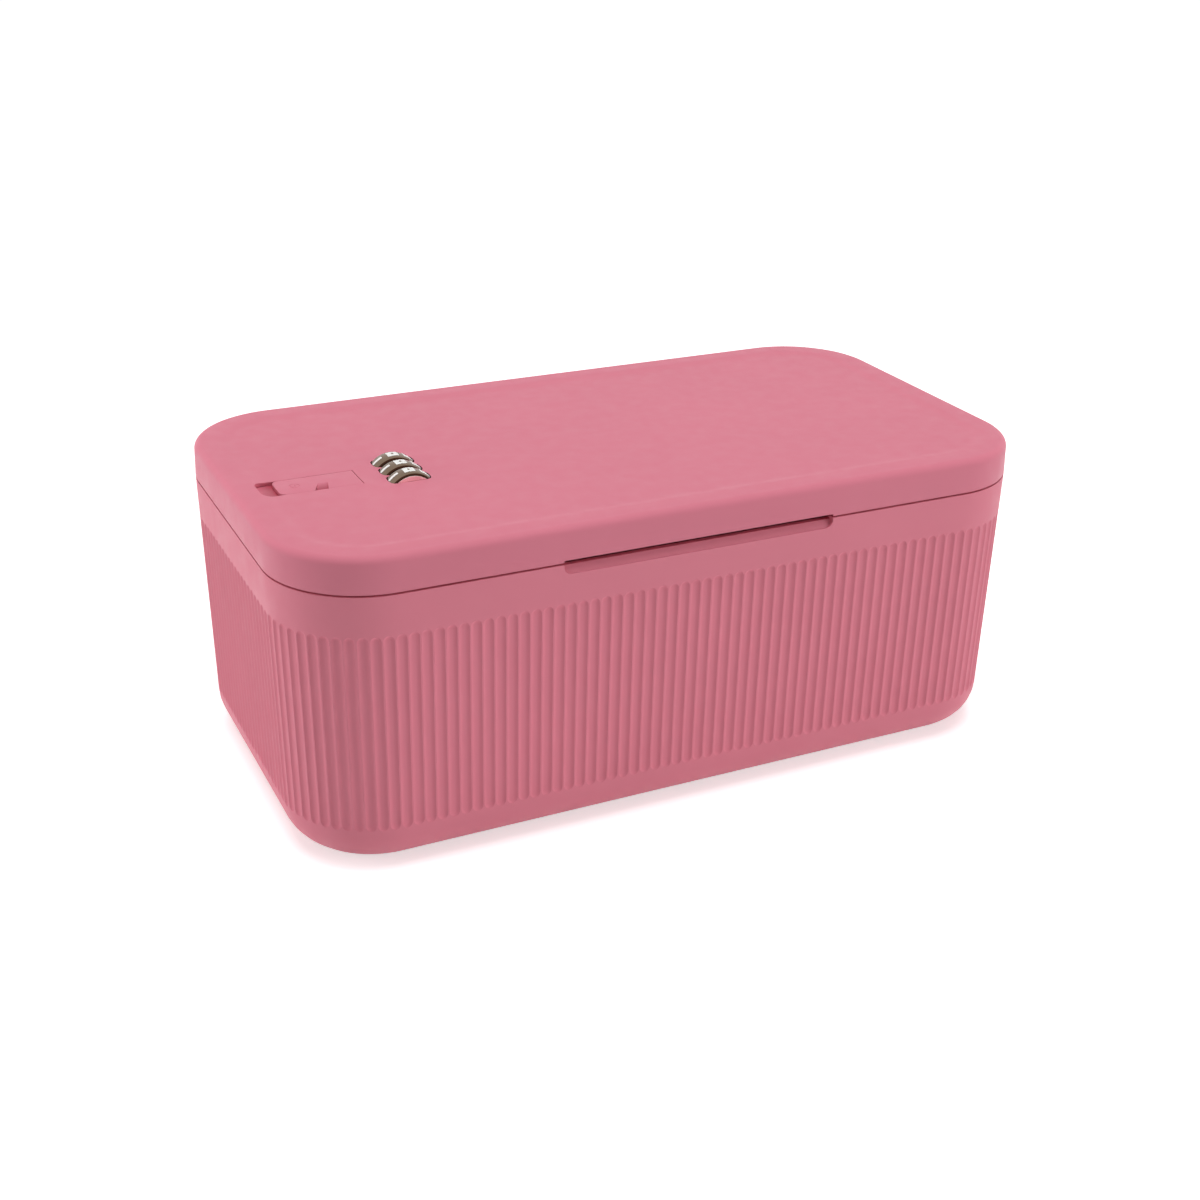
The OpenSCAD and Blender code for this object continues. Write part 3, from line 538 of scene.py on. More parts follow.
def add_node(tree, kind, feeds, output=0, **settings):
    """Adds a shader node with its settings and inputs, and returns one of its outputs."""
    node = tree.nodes.new("ShaderNode" + kind)
    for name, value in settings.items():
        setattr(node, name, value)
    feed(tree, node, feeds)
    return node.outputs[output]


def place_of(tree):
    """The place of a point on the object."""
    return add_node(tree, "TexCoord", {}, "Object")


def map_range(tree, source, start, end, low, high):
    """Runs from low to high while the source runs from start to end."""
    return add_node(tree, "MapRange", {
        "Value": source, "From Min": start, "From Max": end, "To Min": low, "To Max": high,
    })


def grain(tree, scale, detail=2, stretch=(1, 1, 1)):
    """A noise on the object's own coordinates, with its scale in features per metre."""
    stretched = add_node(tree, "Mapping", {"Vector": place_of(tree), "Scale": stretch})
    return add_node(
        tree, "TexNoise", {"Vector": stretched, "Scale": scale, "Detail": detail}, "Fac"
    )


def new_finish(name, colour, roughness, metallic=0.0):
    """A material with one shader; returns it with its node tree and the shader."""
    material = bpy.data.materials.new(name)
    material.use_nodes = True
    tree = material.node_tree
    shader = tree.nodes["Principled BSDF"]
    feed(tree, shader, {"Base Color": (*colour, 1), "Roughness": roughness, "Metallic": metallic})
    return material, tree, shader


def vary_colour(tree, shader, source, colour, spread):
    """Shifts the colour a little darker and lighter along a noise."""
    ramp = tree.nodes.new("ShaderNodeValToRGB")
    factors = (1 - spread, 1 + spread)
    for element, place, factor in zip(ramp.color_ramp.elements, NOISE_SPAN, factors):
        element.position = place
        element.color = (*(min(1, part * factor) for part in colour), 1)
    feed(tree, ramp, {"Fac": source})
    feed(tree, shader, {"Base Color": ramp.outputs["Color"]})


def vary_roughness(tree, shader, source, low, high):
    """Lets the roughness run between two values along a noise."""
    feed(tree, shader, {"Roughness": map_range(tree, source, *NOISE_SPAN, low, high)})


def add_bump(tree, shader, source, height, strength):
    """Raises and sinks the surface along a noise, by a height in metres."""
    bump = add_node(tree, "Bump", {"Height": source, "Distance": height, "Strength": strength})
    feed(tree, shader, {"Normal": bump})


def moulded_plastic(part):
    """Matt moulded plastic: a fine grain, a cloudy colour and a soft gloss that varies."""
    name = "moulded_" + part
    if name in bpy.data.materials:
        return bpy.data.materials[name]
    colour = getattr(bpy.context.scene.lockbox_finish, part)
    material, tree, shader = new_finish(name, colour, 0.5)
    feed(tree, shader, {"Specular IOR Level": 0.25})
    vary_colour(tree, shader, grain(tree, 25, 3), colour, 0.012)
    vary_roughness(tree, shader, grain(tree, 180, 3), 0.46, 0.6)
    add_bump(tree, shader, grain(tree, 2200, 2), 0.02 * MM, 0.5)
    return material


def shaded_plastic(part, name, axis, unshaded_at, dusty):
    """The moulded plastic with painted shade: a darker red that grows from one place to another along
    an axis.
    """
    finish = bpy.context.scene.lockbox_finish
    material = moulded_plastic(part).copy()
    material.name = name
    tree = material.node_tree
    shader = tree.nodes["Principled BSDF"]
    plain = shader.inputs["Base Color"].links[0].from_socket
    along = add_node(tree, "SeparateXYZ", {"Vector": place_of(tree)}, axis)
    # The painted shade is none at the first place along the axis and darkest at the second
    cover = map_range(tree, along, unshaded_at, dusty, 0, finish.painted_shade_cover)
    # The colour sockets of a mix are 6 and 7, and its colour comes out of 2
    mix = add_node(tree, "Mix", {0: cover, 6: plain, 7: (*finish.dust, 1)}, 2, data_type="RGBA")
    feed(tree, shader, {"Base Color": mix})
    return material


def polished_nickel(part):
    """Polished nickel, dark on the rim, with fine lines round the dial and dull spots."""
    colour = getattr(bpy.context.scene.lockbox_finish, part)
    material, tree, shader = new_finish("polished_" + part, colour, 0.2, 1.0)
    vary_colour(tree, shader, grain(tree, 300, 2), colour, 0.06)
    vary_roughness(tree, shader, grain(tree, 500, 3), 0.14, 0.26)
    add_bump(tree, shader, grain(tree, 900, 2, (0.15, 6, 0.15)), 0.004 * MM, 0.4)
    return material


def zinc_steel():
    """Zinc-plated steel sheet and wire with a faint spangle and drawn lines."""
    colour = bpy.context.scene.lockbox_finish.steel
    material, tree, shader = new_finish("zinc_steel", colour, 0.35, 1.0)
    vary_colour(tree, shader, grain(tree, 260, 4), colour, 0.1)
    vary_roughness(tree, shader, grain(tree, 400, 3), 0.26, 0.44)
    add_bump(tree, shader, grain(tree, 700, 2, (0.3, 6, 1)), 0.01 * MM, 0.4)
    return material


def soft_rubber():
    """Dull dark rubber with a fine tooth."""
    colour = bpy.context.scene.lockbox_finish.rubber
    material, tree, shader = new_finish("rubber", colour, 0.8)
    vary_colour(tree, shader, grain(tree, 400, 3), colour, 0.2)
    vary_roughness(tree, shader, grain(tree, 600, 3), 0.7, 0.88)
    add_bump(tree, shader, grain(tree, 2500, 2), 0.03 * MM, 0.7)
    return material


def white_enamel():
    """White enamel fill of the numbers, a little uneven and worn."""
    colour = bpy.context.scene.lockbox_finish.enamel
    material, tree, shader = new_finish("white_enamel", colour, 0.4)
    vary_colour(tree, shader, grain(tree, 900, 2), colour, 0.03)
    vary_roughness(tree, shader, grain(tree, 700, 2), 0.3, 0.5)
    add_bump(tree, shader, grain(tree, 1500, 2), 0.008 * MM, 0.5)
    return material


def seen_directly(tree):
    """1 for what the camera, a mirror or glass sees, and 0 for the light on the object."""
    path = tree.nodes.new("ShaderNodeLightPath")
    total = path.outputs["Is Camera Ray"]
    for ray in ("Is Glossy Ray", "Is Transmission Ray"):
        total = add_node(tree, "Math", {0: total, 1: path.outputs[ray]}, operation="MAXIMUM")
    return total


def floor_paint(stage):
    """A pale floor that keeps the shadow and looks white where it is lit."""
    material, tree, shader = new_finish("floor_paint", stage.floor_colour, 0.9)
    away = add_node(tree, "VectorMath", {0: place_of(tree)}, "Value", operation="LENGTH")
    lift = map_range(
        tree, away, stage.lift_start, stage.lift_end, stage.floor_lift, stage.far_lift
    )
    glow = add_node(tree, "Math", {0: seen_directly(tree), 1: lift}, operation="MULTIPLY")
    feed(tree, shader, {
        "Specular IOR Level": 0, "Emission Color": (1, 1, 1, 1), "Emission Strength": glow,
    })
    return material


def copy_along(piece, name, step):
    """A copy of a piece with a mesh of its own, moved along the axle."""
    choose(piece)
    bpy.ops.object.duplicate()
    twin = rename(bpy.context.object, name)
    open_whole(twin)
    bpy.ops.transform.translate(value=(0, step, 0))
    start_fresh()
    return twin


def finish_piece(piece, body, nodes, material):
    """Shades a piece, gives it its finish and lets it ride on a body in the place of CAD nodes."""
    choose(piece)
    bpy.ops.object.shade_smooth_by_angle(angle=SMOOTH_ANGLE)
    piece.data.materials.clear()
    piece.data.materials.append(material)
    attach(piece, body)
    if nodes:
        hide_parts(*nodes)


def add_finish(piece, material, test):
    """Gives the faces of a finished piece that pass a test a finish of their own."""
    piece.data.materials.append(material)
    slot = len(piece.data.materials) - 1
    for face in piece.data.polygons:
        if test(face):
            face.material_index = slot


def soften(node, material, edge):
    """A copy of a CAD node with its triangles merged and its edges rounded."""
    choose(frame["nodes"][node])
    bpy.ops.object.duplicate()
    piece = rename(bpy.context.object, "soft_" + node)
    for key in list(piece.keys()):
        del piece[key]
    bpy.ops.object.parent_clear(type="CLEAR_KEEP_TRANSFORM")
    open_whole(piece)
    bpy.ops.mesh.remove_doubles(threshold=HAIR / 5)
    bpy.ops.mesh.dissolve_limited(angle_limit=FLAT_ANGLE)
    apply_modifier(
        piece, "BEVEL", width=edge, segments=2, limit_method="ANGLE", angle_limit=QUARTER / 2,
        use_clamp_overlap=True,
    )
    finish_piece(piece, NODE_BODY[node], [node], material)
    apply_modifier(piece, "WEIGHTED_NORMAL", keep_sharp=True)
    return piece


def rim_points(radius, count):
    """Evenly spaced points along the rim, anticlockwise from the middle of the rear side."""
    long_run = HALF_LENGTH - radius
    short_run = HALF_WIDTH - radius
    runs = (long_run, 2 * short_run, 2 * long_run, 2 * short_run, long_run)
    whole = sum(runs) + 4 * QUARTER * radius
    points = []
    for i in range(count + 1):
        left, place, heading = whole * i / count, complex(0, HALF_WIDTH), complex(-1, 0)
        for run in runs:
            straight = min(left, run)
            place += heading * straight
            turn = min((left - straight) / radius, QUARTER)
            place += heading * radius * complex(math.sin(turn), 1 - math.cos(turn))
            heading *= complex(math.cos(turn), math.sin(turn))
            left -= straight + turn * radius
        points.append(Vector((place.real, place.imag, 0)))
    return points


def rim_guide(points):
    """A curve along the rim that bends the row of flutes round the box."""
    data = bpy.data.curves.new("rim_guide", "CURVE")
    data.dimensions = "2D"
    spline = data.splines.new("POLY")
    spline.points.add(len(points) - 1)
    for target, point in zip(spline.points, points):
        target.co = (*point, 1)
    guide = bpy.data.objects.new("rim_guide", data)
    bpy.context.scene.collection.objects.link(guide)
    return guide


def flute_strip(body, pitch, columns):
    """The wall's section, one flute wide, from the base over the rim to the floor inside.

    X runs along the rim, Y inwards from it and Z up."""
    rim_z = HINGE.z - body.seam / 2
    lean = math.tan(body.draft)
    margin = pitch * (1 - body.flute_share) / 2
    width = pitch - 2 * margin
    low = BASE_Z + body.lower_band - margin
    high = rim_z - body.upper_band + margin
    place = (pitch / 2, (rim_z - (low + high) / 2) * lean, (low + high) / 2)
    height = (high - low) / math.cos(body.draft)
    turn = (QUARTER + body.draft, 0, 0)

    # The flute's round-ended face in the strip's plain one
    strip = plate("body_wall", width, height - 2 * margin, place, turn)
    bpy.ops.mesh.bevel(affect="VERTICES", offset=width / 2, segments=5)
    bpy.ops.mesh.remove_doubles(threshold=HAIR)
    bpy.ops.mesh.primitive_plane_add(size=1, location=place, rotation=turn)
    bpy.ops.transform.resize(value=(pitch, height, height), center_override=place)
    pick("EDGE", lambda edge: near(edge.calc_length(), pitch))
    bpy.ops.mesh.subdivide(number_cuts=columns - 1)
    pick("EDGE", lambda edge: len(edge.link_faces) == 2)
    bpy.ops.mesh.delete(type="EDGE")
    select_whole()
    bpy.ops.mesh.fill(use_beauty=True)
    pick("FACE", lambda face: face.normal.y > 0)
    bpy.ops.mesh.flip_normals()

    # The flute, steep beside the ridges and hollow towards its middle
    steps = 5
    pick("FACE", lambda face: len(face.verts) > 4)
    step_in([
        (body.flute_slope * i / steps, -body.flute_depth * (1 - (1 - i / steps) ** 2))
        for i in range(steps + 1)
    ])

    # Lower band and the round foot
    foot_z = BASE_Z + body.foot_radius
    foot_y = (rim_z - foot_z) * lean
    pick("EDGE", open_edge_at(low))
    extrude(y=(low - foot_z) * lean, z=foot_z - low)
    bpy.ops.mesh.spin(
        steps=8, angle=-QUARTER, center=(0, foot_y + body.foot_radius, foot_z), axis=(1, 0, 0)
    )

    # Upper band, rim, inner wall and its round foot
    edge = body.rim_radius
    inner_radius = body.foot_radius - body.wall
    inner_z = BASE_Z + body.floor + inner_radius
    inner_y = (rim_z - inner_z) * lean + body.wall
    pick("EDGE", open_edge_at(high))
    extrude(y=-(rim_z - high) * lean, z=rim_z - edge - high)
    bpy.ops.mesh.spin(steps=3, angle=QUARTER, center=(0, edge, rim_z - edge), axis=(1, 0, 0))
    extrude(y=body.wall - 2 * edge)
    bpy.ops.mesh.spin(
        steps=3, angle=QUARTER, center=(0, body.wall - edge, rim_z - edge), axis=(1, 0, 0)
    )
    extrude(y=inner_y - body.wall, z=inner_z - rim_z + edge)
    bpy.ops.mesh.spin(
        steps=8, angle=-QUARTER, center=(0, inner_y + inner_radius, inner_z), axis=(1, 0, 0)
    )
    return strip


def repeat_steps(places):
    """Steps from each place along X to the next."""
    return [(b - a, 0, 0) for a, b in zip(places, places[1:])]


def knuckles(hinge, length, offsets, web_height):
    """Barrels on the hinge axis and the webs that carry them; a negative height hangs down."""
    places = [HINGE.x + offset for offset in offsets]
    steps = repeat_steps(places)
    first = places[0]
    barrels = rod("barrels", hinge.radius, length, (first, HINGE.y, HINGE.z), (0, QUARTER, 0))
    round_edges(hinge.edge, 2, sharp)
    select_whole()
    repeat(*steps)

    # The web runs to a point at the wall
    inner_y = HALF_WIDTH - CUT
    outer_y = HINGE.y + hinge.radius * hinge.web_reach
    root_z = HINGE.z + math.copysign(hinge.radius * hinge.web_start, web_height)
    tip_z = HINGE.z + web_height
    webs = block(
        "webs", (first - length / 2, inner_y, root_z), (first + length / 2, outer_y, tip_z)
    )
    pick("VERT", lambda vert: near(vert.co.y, outer_y) and near(vert.co.z, tip_z))
    bpy.ops.transform.translate(value=(0, inner_y - outer_y + hinge.web_foot, 0))
    face_outwards()
    repeat(*steps)
    return barrels, webs


def hinge_rods(name, hinge, radius, length, outer=False):
    """Cylinders along the hinge axis, as tools."""
    places = [HINGE.x + offset for offset in hinge_offsets(hinge, outer)]
    tools = rod(name, radius, length, (places[0], HINGE.y, HINGE.z), (0, QUARTER, 0))
    repeat(*repeat_steps(places))
    return tools


def hinge_offsets(hinge, outer):
    """Middles along X of the lid's two knuckles, or of the body's two pairs."""
    reach = (hinge.lid_length + hinge.body_length) / 2 + hinge.gap if outer else 0
    places = {side * hinge.spacing / 2 + step for side in (-1, 1) for step in (-reach, reach)}
    return sorted(places)


def recess_tool(recess, low, high, depth, lean=0.0):
    """The finger recess between round lower corners; its back leans out towards the bottom.

    The depth is measured at the top."""
    mid_z = (low + high) / 2
    place = (0, -HALF_WIDTH + depth - (high - low) / 2 * math.tan(lean), mid_z)
    tool = plate(
        "recess", recess.length, (high - low) / math.cos(lean), place, (QUARTER - lean, 0, 0)
    )
    round_corners(recess.radius, 6, lambda vert: vert.co.z < mid_z)
    extrude(y=-depth - CUT)
    face_outwards()
    return tool


def dial_section(dial, radius, half, extra):
    """Half section of a dial's crown between its round shoulders, grown by extra.

    The points are (distance from the axle, place along it)."""
    crown = dial.crown_radius + extra
    crown_x = radius - dial.crown_radius
    edge = dial.shoulder + extra
    meeting = math.asin((half - edge) / (crown - edge))
    edge_x = crown_x + (crown - edge) * math.cos(meeting)
    steps = 6
    shoulder = [
        (edge_x + edge * math.cos(turn), half - edge + edge * math.sin(turn))
        for turn in (QUARTER + (meeting - QUARTER) * i / steps for i in range(steps + 1))
    ]
    steps = 8
    arc = [
        (crown_x + crown * math.cos(turn), crown * math.sin(turn))
        for turn in (meeting * (1 - 2 * i / steps) for i in range(1, steps))
    ]
    mirrored = [(r, -y) for r, y in reversed(shoulder)]
    return [*shoulder, *arc, *mirrored]


def turned(name, section, centre, steps=96):
    """Spins a closed half section round the dials' axle, open for editing and selected."""
    first = Vector(centre) + Vector((0, section[0][1], section[0][0]))
    piece = start_piece(name, bpy.ops.mesh.primitive_plane_add, first, size=1 * MM)
    bpy.ops.mesh.select_mode(type="VERT")
    bpy.ops.mesh.merge(type="CENTER")
    for (low, left), (high, right) in zip(section, section[1:]):
        extrude(y=right - left, z=high - low)
    select_whole()
    bpy.ops.mesh.spin(steps=steps, angle=4 * QUARTER, center=centre, axis=(0, 1, 0))
    select_whole()
    bpy.ops.mesh.remove_doubles(threshold=HAIR / 2)
    face_outwards()
    return piece


class LOCKBOX_OT_body(bpy.types.Operator):
    """Model the fluted body with its recess, hinge knuckles and keeper pads"""

    bl_idname = "lockbox.body"
    bl_label = "Body"

    def execute(self, context):
        scene = context.scene
        body, recess, hinge = scene.lockbox_body, scene.lockbox_recess, scene.lockbox_hinge
        rim_z = HINGE.z - body.seam / 2
        back_y = -HALF_WIDTH + body.wall
        wall = self.fluted_wall(body)

        # What stands on the wall
        pads = self.keeper_pads(body)
        backing = self.backing(body, recess, back_y, rim_z)
        barrels, webs = knuckles(
            hinge, hinge.body_length, hinge_offsets(hinge, outer=True), -hinge.body_web
        )
        combine(wall, "UNION", pads, backing, webs)
        combine(wall, "UNION", barrels)

        # What is cut from it
        over = 2 * CUT
        half = recess.length / 2
        slit = block(
            "slit", (-half, -HALF_WIDTH - over, rim_z - recess.slit),
            (half, back_y + body.backing_depth + over, rim_z + over),
        )
        lean = math.atan((recess.depth - recess.foot) / recess.drop)
        scoop = recess_tool(
            recess, rim_z - recess.drop, rim_z + over, recess.depth + over * math.tan(lean), lean
        )
        reliefs = hinge_rods(
            "reliefs", hinge, hinge.radius + hinge.relief, hinge.lid_length + 2 * hinge.gap
        )
        bores = hinge_rods("bores", hinge, hinge.pin, hinge.lid_length + 3 * hinge.body_length)
        combine(wall, "DIFFERENCE", slit)
        combine(wall, "DIFFERENCE", self.pad_pockets(body), scoop, reliefs)
        combine(wall, "DIFFERENCE", bores)
        finish_piece(wall, "box", ["body_shell"], moulded_plastic("body"))
        return {"FINISHED"}

    @staticmethod
    def fluted_wall(body):
        """The wall, bent from a row of flutes, with the base and the floor inside."""
        columns = 4
        weld = 0.02 * MM
        points = rim_points(body.corner_radius, body.flute_count * columns)
        pitch = sum((b - a).length for a, b in zip(points, points[1:])) / body.flute_count
        wall = flute_strip(body, pitch, columns)
        guide = rim_guide(points)
        apply_modifier(
            wall, "ARRAY", count=body.flute_count, use_relative_offset=False,
            use_constant_offset=True, constant_offset_displace=(pitch, 0, 0),
            use_merge_vertices=True, merge_threshold=weld,
        )
        apply_modifier(wall, "CURVE", object=guide, deform_axis="POS_X")
        bpy.data.objects.remove(guide)
        open_whole(wall)
        bpy.ops.mesh.remove_doubles(threshold=2 * weld)
        for height in (BASE_Z, BASE_Z + body.floor):
            close_flat(height)
        face_outwards()
        return wall

    @staticmethod
    def keeper_pads(body):
        """Two pads on the left wall, which carry the keeper."""
        low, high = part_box("keeper_bracket")
        inner_x = -HALF_LENGTH + body.wall
        length = (high.y - low.y) * body.keeper_share
        pads = block(
            "keeper_pads", (inner_x - SINK, low.y, low.z - body.keeper_margin),
            (inner_x + body.keeper_pad, low.y + length, high.z + body.keeper_margin),
        )
        repeat((0, high.y - low.y - length, 0))
        return pads

    @staticmethod
    def backing(body, recess, back_y, rim_z):
        """The thicker wall behind the finger recess, which fades out below."""
        half = recess.length / 2 + body.backing_reach
        low_z = rim_z - body.backing_height
        backing = block(
            "backing", (-half, back_y - SINK, low_z), (half, back_y + body.backing_depth, rim_z - HAIR)
        )
        pick("VERT", lambda vert: near(vert.co.z, low_z) and vert.co.y > back_y)
        bpy.ops.transform.translate(value=(0, 0, body.backing_slope))
        return backing

    @staticmethod
    def pad_pockets(body):
        """A pocket in the base for each rubber pad."""
        low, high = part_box("foot_front_left")
        pad = (low + high) / 2
        radius = (high.x - low.x) / 2 + body.pad_gap
        pockets = rod("pockets", radius, 2 * body.pad_depth, (pad.x, pad.y, BASE_Z))
        repeat((-2 * pad.x, 0, 0), (0, -2 * pad.y, 0), (2 * pad.x, 0, 0))
        return pockets


def screw_places():
    """Middles of the screws of the liner and of the housing, which the lid's bosses stand over."""
    places = []
    for node, columns in (("liner_screws", 3), ("housing_screws", 2)):
        low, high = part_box(node)
        span = high.x - low.x - 2 * SCREW_HEAD
        for i in range(columns):
            x = low.x + SCREW_HEAD + span * i / (columns - 1)
            places += [(x, low.y + SCREW_HEAD), (x, high.y - SCREW_HEAD)]
    return places


def posts(name, radius, low, high, places, sides=48):
    """Upright cylinders at several places, open for editing."""
    pieces = rod(name, radius, high - low, (*places[0], (low + high) / 2), sides=sides)
    repeat(*((b[0] - a[0], b[1] - a[1], 0) for a, b in zip(places, places[1:])))
    return pieces


class LOCKBOX_OT_lid(bpy.types.Operator):
    """Model the lid with its dished top, slot, dial windows, knuckles and bosses"""

    bl_idname = "lockbox.lid"
    bl_label = "Lid"

    def execute(self, context):
        scene = context.scene
        body, lid, recess = scene.lockbox_body, scene.lockbox_lid, scene.lockbox_recess
        hinge, dial, button = scene.lockbox_hinge, scene.lockbox_dial, scene.lockbox_button
        seam_z = HINGE.z + body.seam / 2
        skin_z = TOP_Z - lid.dish_depth - lid.skin
        cover = self.shell(body, lid, seam_z, skin_z)

        # Knuckles, bosses, and the rails and spring seat beside the button
        barrels, webs = knuckles(
            hinge, hinge.lid_length, hinge_offsets(hinge, outer=False), hinge.lid_web
        )
        foot_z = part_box("lid_liner")[1].z - lid.boss_sink
        overlap = 0.6 * MM
        places = screw_places()
        bosses = posts("bosses", lid.boss_radius, foot_z, skin_z + overlap, places)
        combine(cover, "DIFFERENCE", self.flange_room(button))
        combine(cover, "UNION", webs, bosses, *self.rails(button, skin_z + overlap))
        combine(cover, "UNION", barrels)

        # Openings
        recess_low = seam_z - recess.radius - CUT
        combine(
            cover, "DIFFERENCE", self.slot(lid, button, skin_z), self.windows(dial, lid),
            recess_tool(recess, recess_low, seam_z + recess.rise, recess.lid_depth),
            hinge_rods(
                "reliefs", hinge, hinge.radius + hinge.relief, hinge.body_length + 2 * hinge.gap,
                outer=True,
            ),
        )
        pilots = posts("pilots", lid.pilot, foot_z - overlap, skin_z - overlap, places, sides=24)
        bores = hinge_rods("bores", hinge, hinge.pin, hinge.lid_length + 2 * CUT)
        combine(cover, "DIFFERENCE", pilots, bores)
        finish_piece(cover, "lid", ["lid_cover"], moulded_plastic("lid"))
        return {"FINISHED"}

    @staticmethod
    def shell(body, lid, seam_z, skin_z):
        """The lid's shell, drawn from its seam up over the edge, into the dish and back below."""
        cover = plate("lid_shell", 2 * HALF_LENGTH, 2 * HALF_WIDTH, (0, 0, seam_z))
        round_corners(body.corner_radius, 26)
        lean = math.tan(lid.draft)
        bend = TOP_Z - seam_z - lid.edge_radius
        edge = round_over(bend * lean, bend, lid.edge_radius, 6)
        step_in([(0, 0), (bend * lean, bend), *edge])

        # The level rim and the soft step into the dish
        blend = 0.3 * MM
        rim = (TOP_Z - seam_z) * lean + lid.rim_width - edge[-1][0]
        slope = lid.dish_slope + 2 * blend
        strip = 1.5 * MM
        steps = 8
        step_in([(0, 0), (rim - blend, 0)])
        step_in([
            (slope * i / steps, -lid.dish_depth * (1 - math.cos(math.pi * i / steps)) / 2)
            for i in range(steps + 1)
        ])
        step_in([(0, 0), (strip, 0)])

        # The inner side
        close_flat(seam_z, body.wall)
        extrude(z=skin_z - seam_z)
        round_edges(lid.seam_radius, 2, lambda edge: edge_at(edge, seam_z) and sharp(edge))
        face_outwards()
        return cover

    @staticmethod
    def rails(button, top):
        """Two guides beside the button's flange and the seat of its return spring."""
        low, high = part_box("slide_button")
        spring_low, spring_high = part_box("return_spring")
        rail_y = AXLE.y - low.y + button.flange_gap
        rail_z = high.z - button.flange_drop - button.rail_drop
        left = low.x + button.rail_inset
        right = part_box("lock_housing")[0].x - button.rail_gap
        front = block(
            "front_rail", (left, AXLE.y - rail_y - button.rail, rail_z),
            (right, AXLE.y - rail_y, top),
        )

        # The rear guide leaves room for the travel of the button's own spring seat
        travel = JOINTS["button_slide"]["range_m"][1]
        spare = 0.5 * MM
        room_left = spring_high.x - travel - button.rail_gap
        room_right = spring_high.x + button.seat_gap + button.seat_wall + spare
        rear = [
            block(
                "rear_rail", (start, AXLE.y + rail_y, rail_z),
                (end, AXLE.y + rail_y + button.rail, top),
            )
            for start, end in ((left, room_left), (room_right, right)) if end > start
        ]
        centre = (spring_low + spring_high) / 2
        seat_x = spring_low.x - button.seat_gap
        seat = block(
            "spring_seat",
            (seat_x - button.seat_wall, centre.y - button.seat_half, centre.z - button.seat_drop),
            (seat_x, centre.y + button.seat_half, top),
        )
        return [front, *rear, seat]

    @staticmethod
    def flange_room(button):
        """A pocket under the skin, in which the button's flange slides to and fro."""
        low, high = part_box("slide_button")
        side = AXLE.y - low.y + button.flange_gap
        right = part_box("dial_2")[0].x - button.dial_gap + button.flange_gap
        top = high.z - button.flange_drop + button.flange + button.gap
        return block(
            "flange_room", (low.x - button.track, AXLE.y - side, low.z), (right, AXLE.y + side, top)
        )

    @staticmethod
    def slot(lid, button, skin_z):
        """The button's slot, round at its left corners."""
        left = -HALF_LENGTH + lid.slot_inset
        right = left + button.track + button.length + button.end_gap
        half = button.width / 2 + button.gap
        mid_y = AXLE.y + button.shift
        tool = block("slot", (left, mid_y - half, skin_z - CUT), (right, mid_y + half, TOP_Z + CUT))

        def upright_at_left(edge):
            start, end = (vert.co for vert in edge.verts)
            return near(start.x, left) and near(end.x, left) and near(start.y, end.y)

        round_edges(lid.slot_radius, 6, upright_at_left)
        return tool

    @staticmethod
    def windows(dial, lid):
        """A room for each dial, and one for the sleeves below the skin."""
        low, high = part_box("dial_2")
        half = (high.y - low.y) / 2 + lid.window_side
        rim = dial_section(dial, (high.x - low.x) / 2, half, lid.window_gap)
        core = 0.5 * MM
        rooms = turned("windows", [(core, half), *rim, (core, -half), (core, half)], AXLE, 72)
        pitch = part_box("dial_3")[0].y - low.y
        repeat((0, pitch, 0), (0, -2 * pitch, 0))
        front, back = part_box("cam_sleeve_1")[0].y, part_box("cam_sleeve_3")[1].y
        sleeve_low, sleeve_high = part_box("cam_sleeve_2")
        sleeves = rod(
            "sleeve_room", (sleeve_high.x - sleeve_low.x) / 2 + lid.window_gap,
            back - front + 2 * lid.window_gap, (AXLE.x, (front + back) / 2, AXLE.z), (QUARTER, 0, 0),
        )
        combine(rooms, "UNION", sleeves)
        return rooms


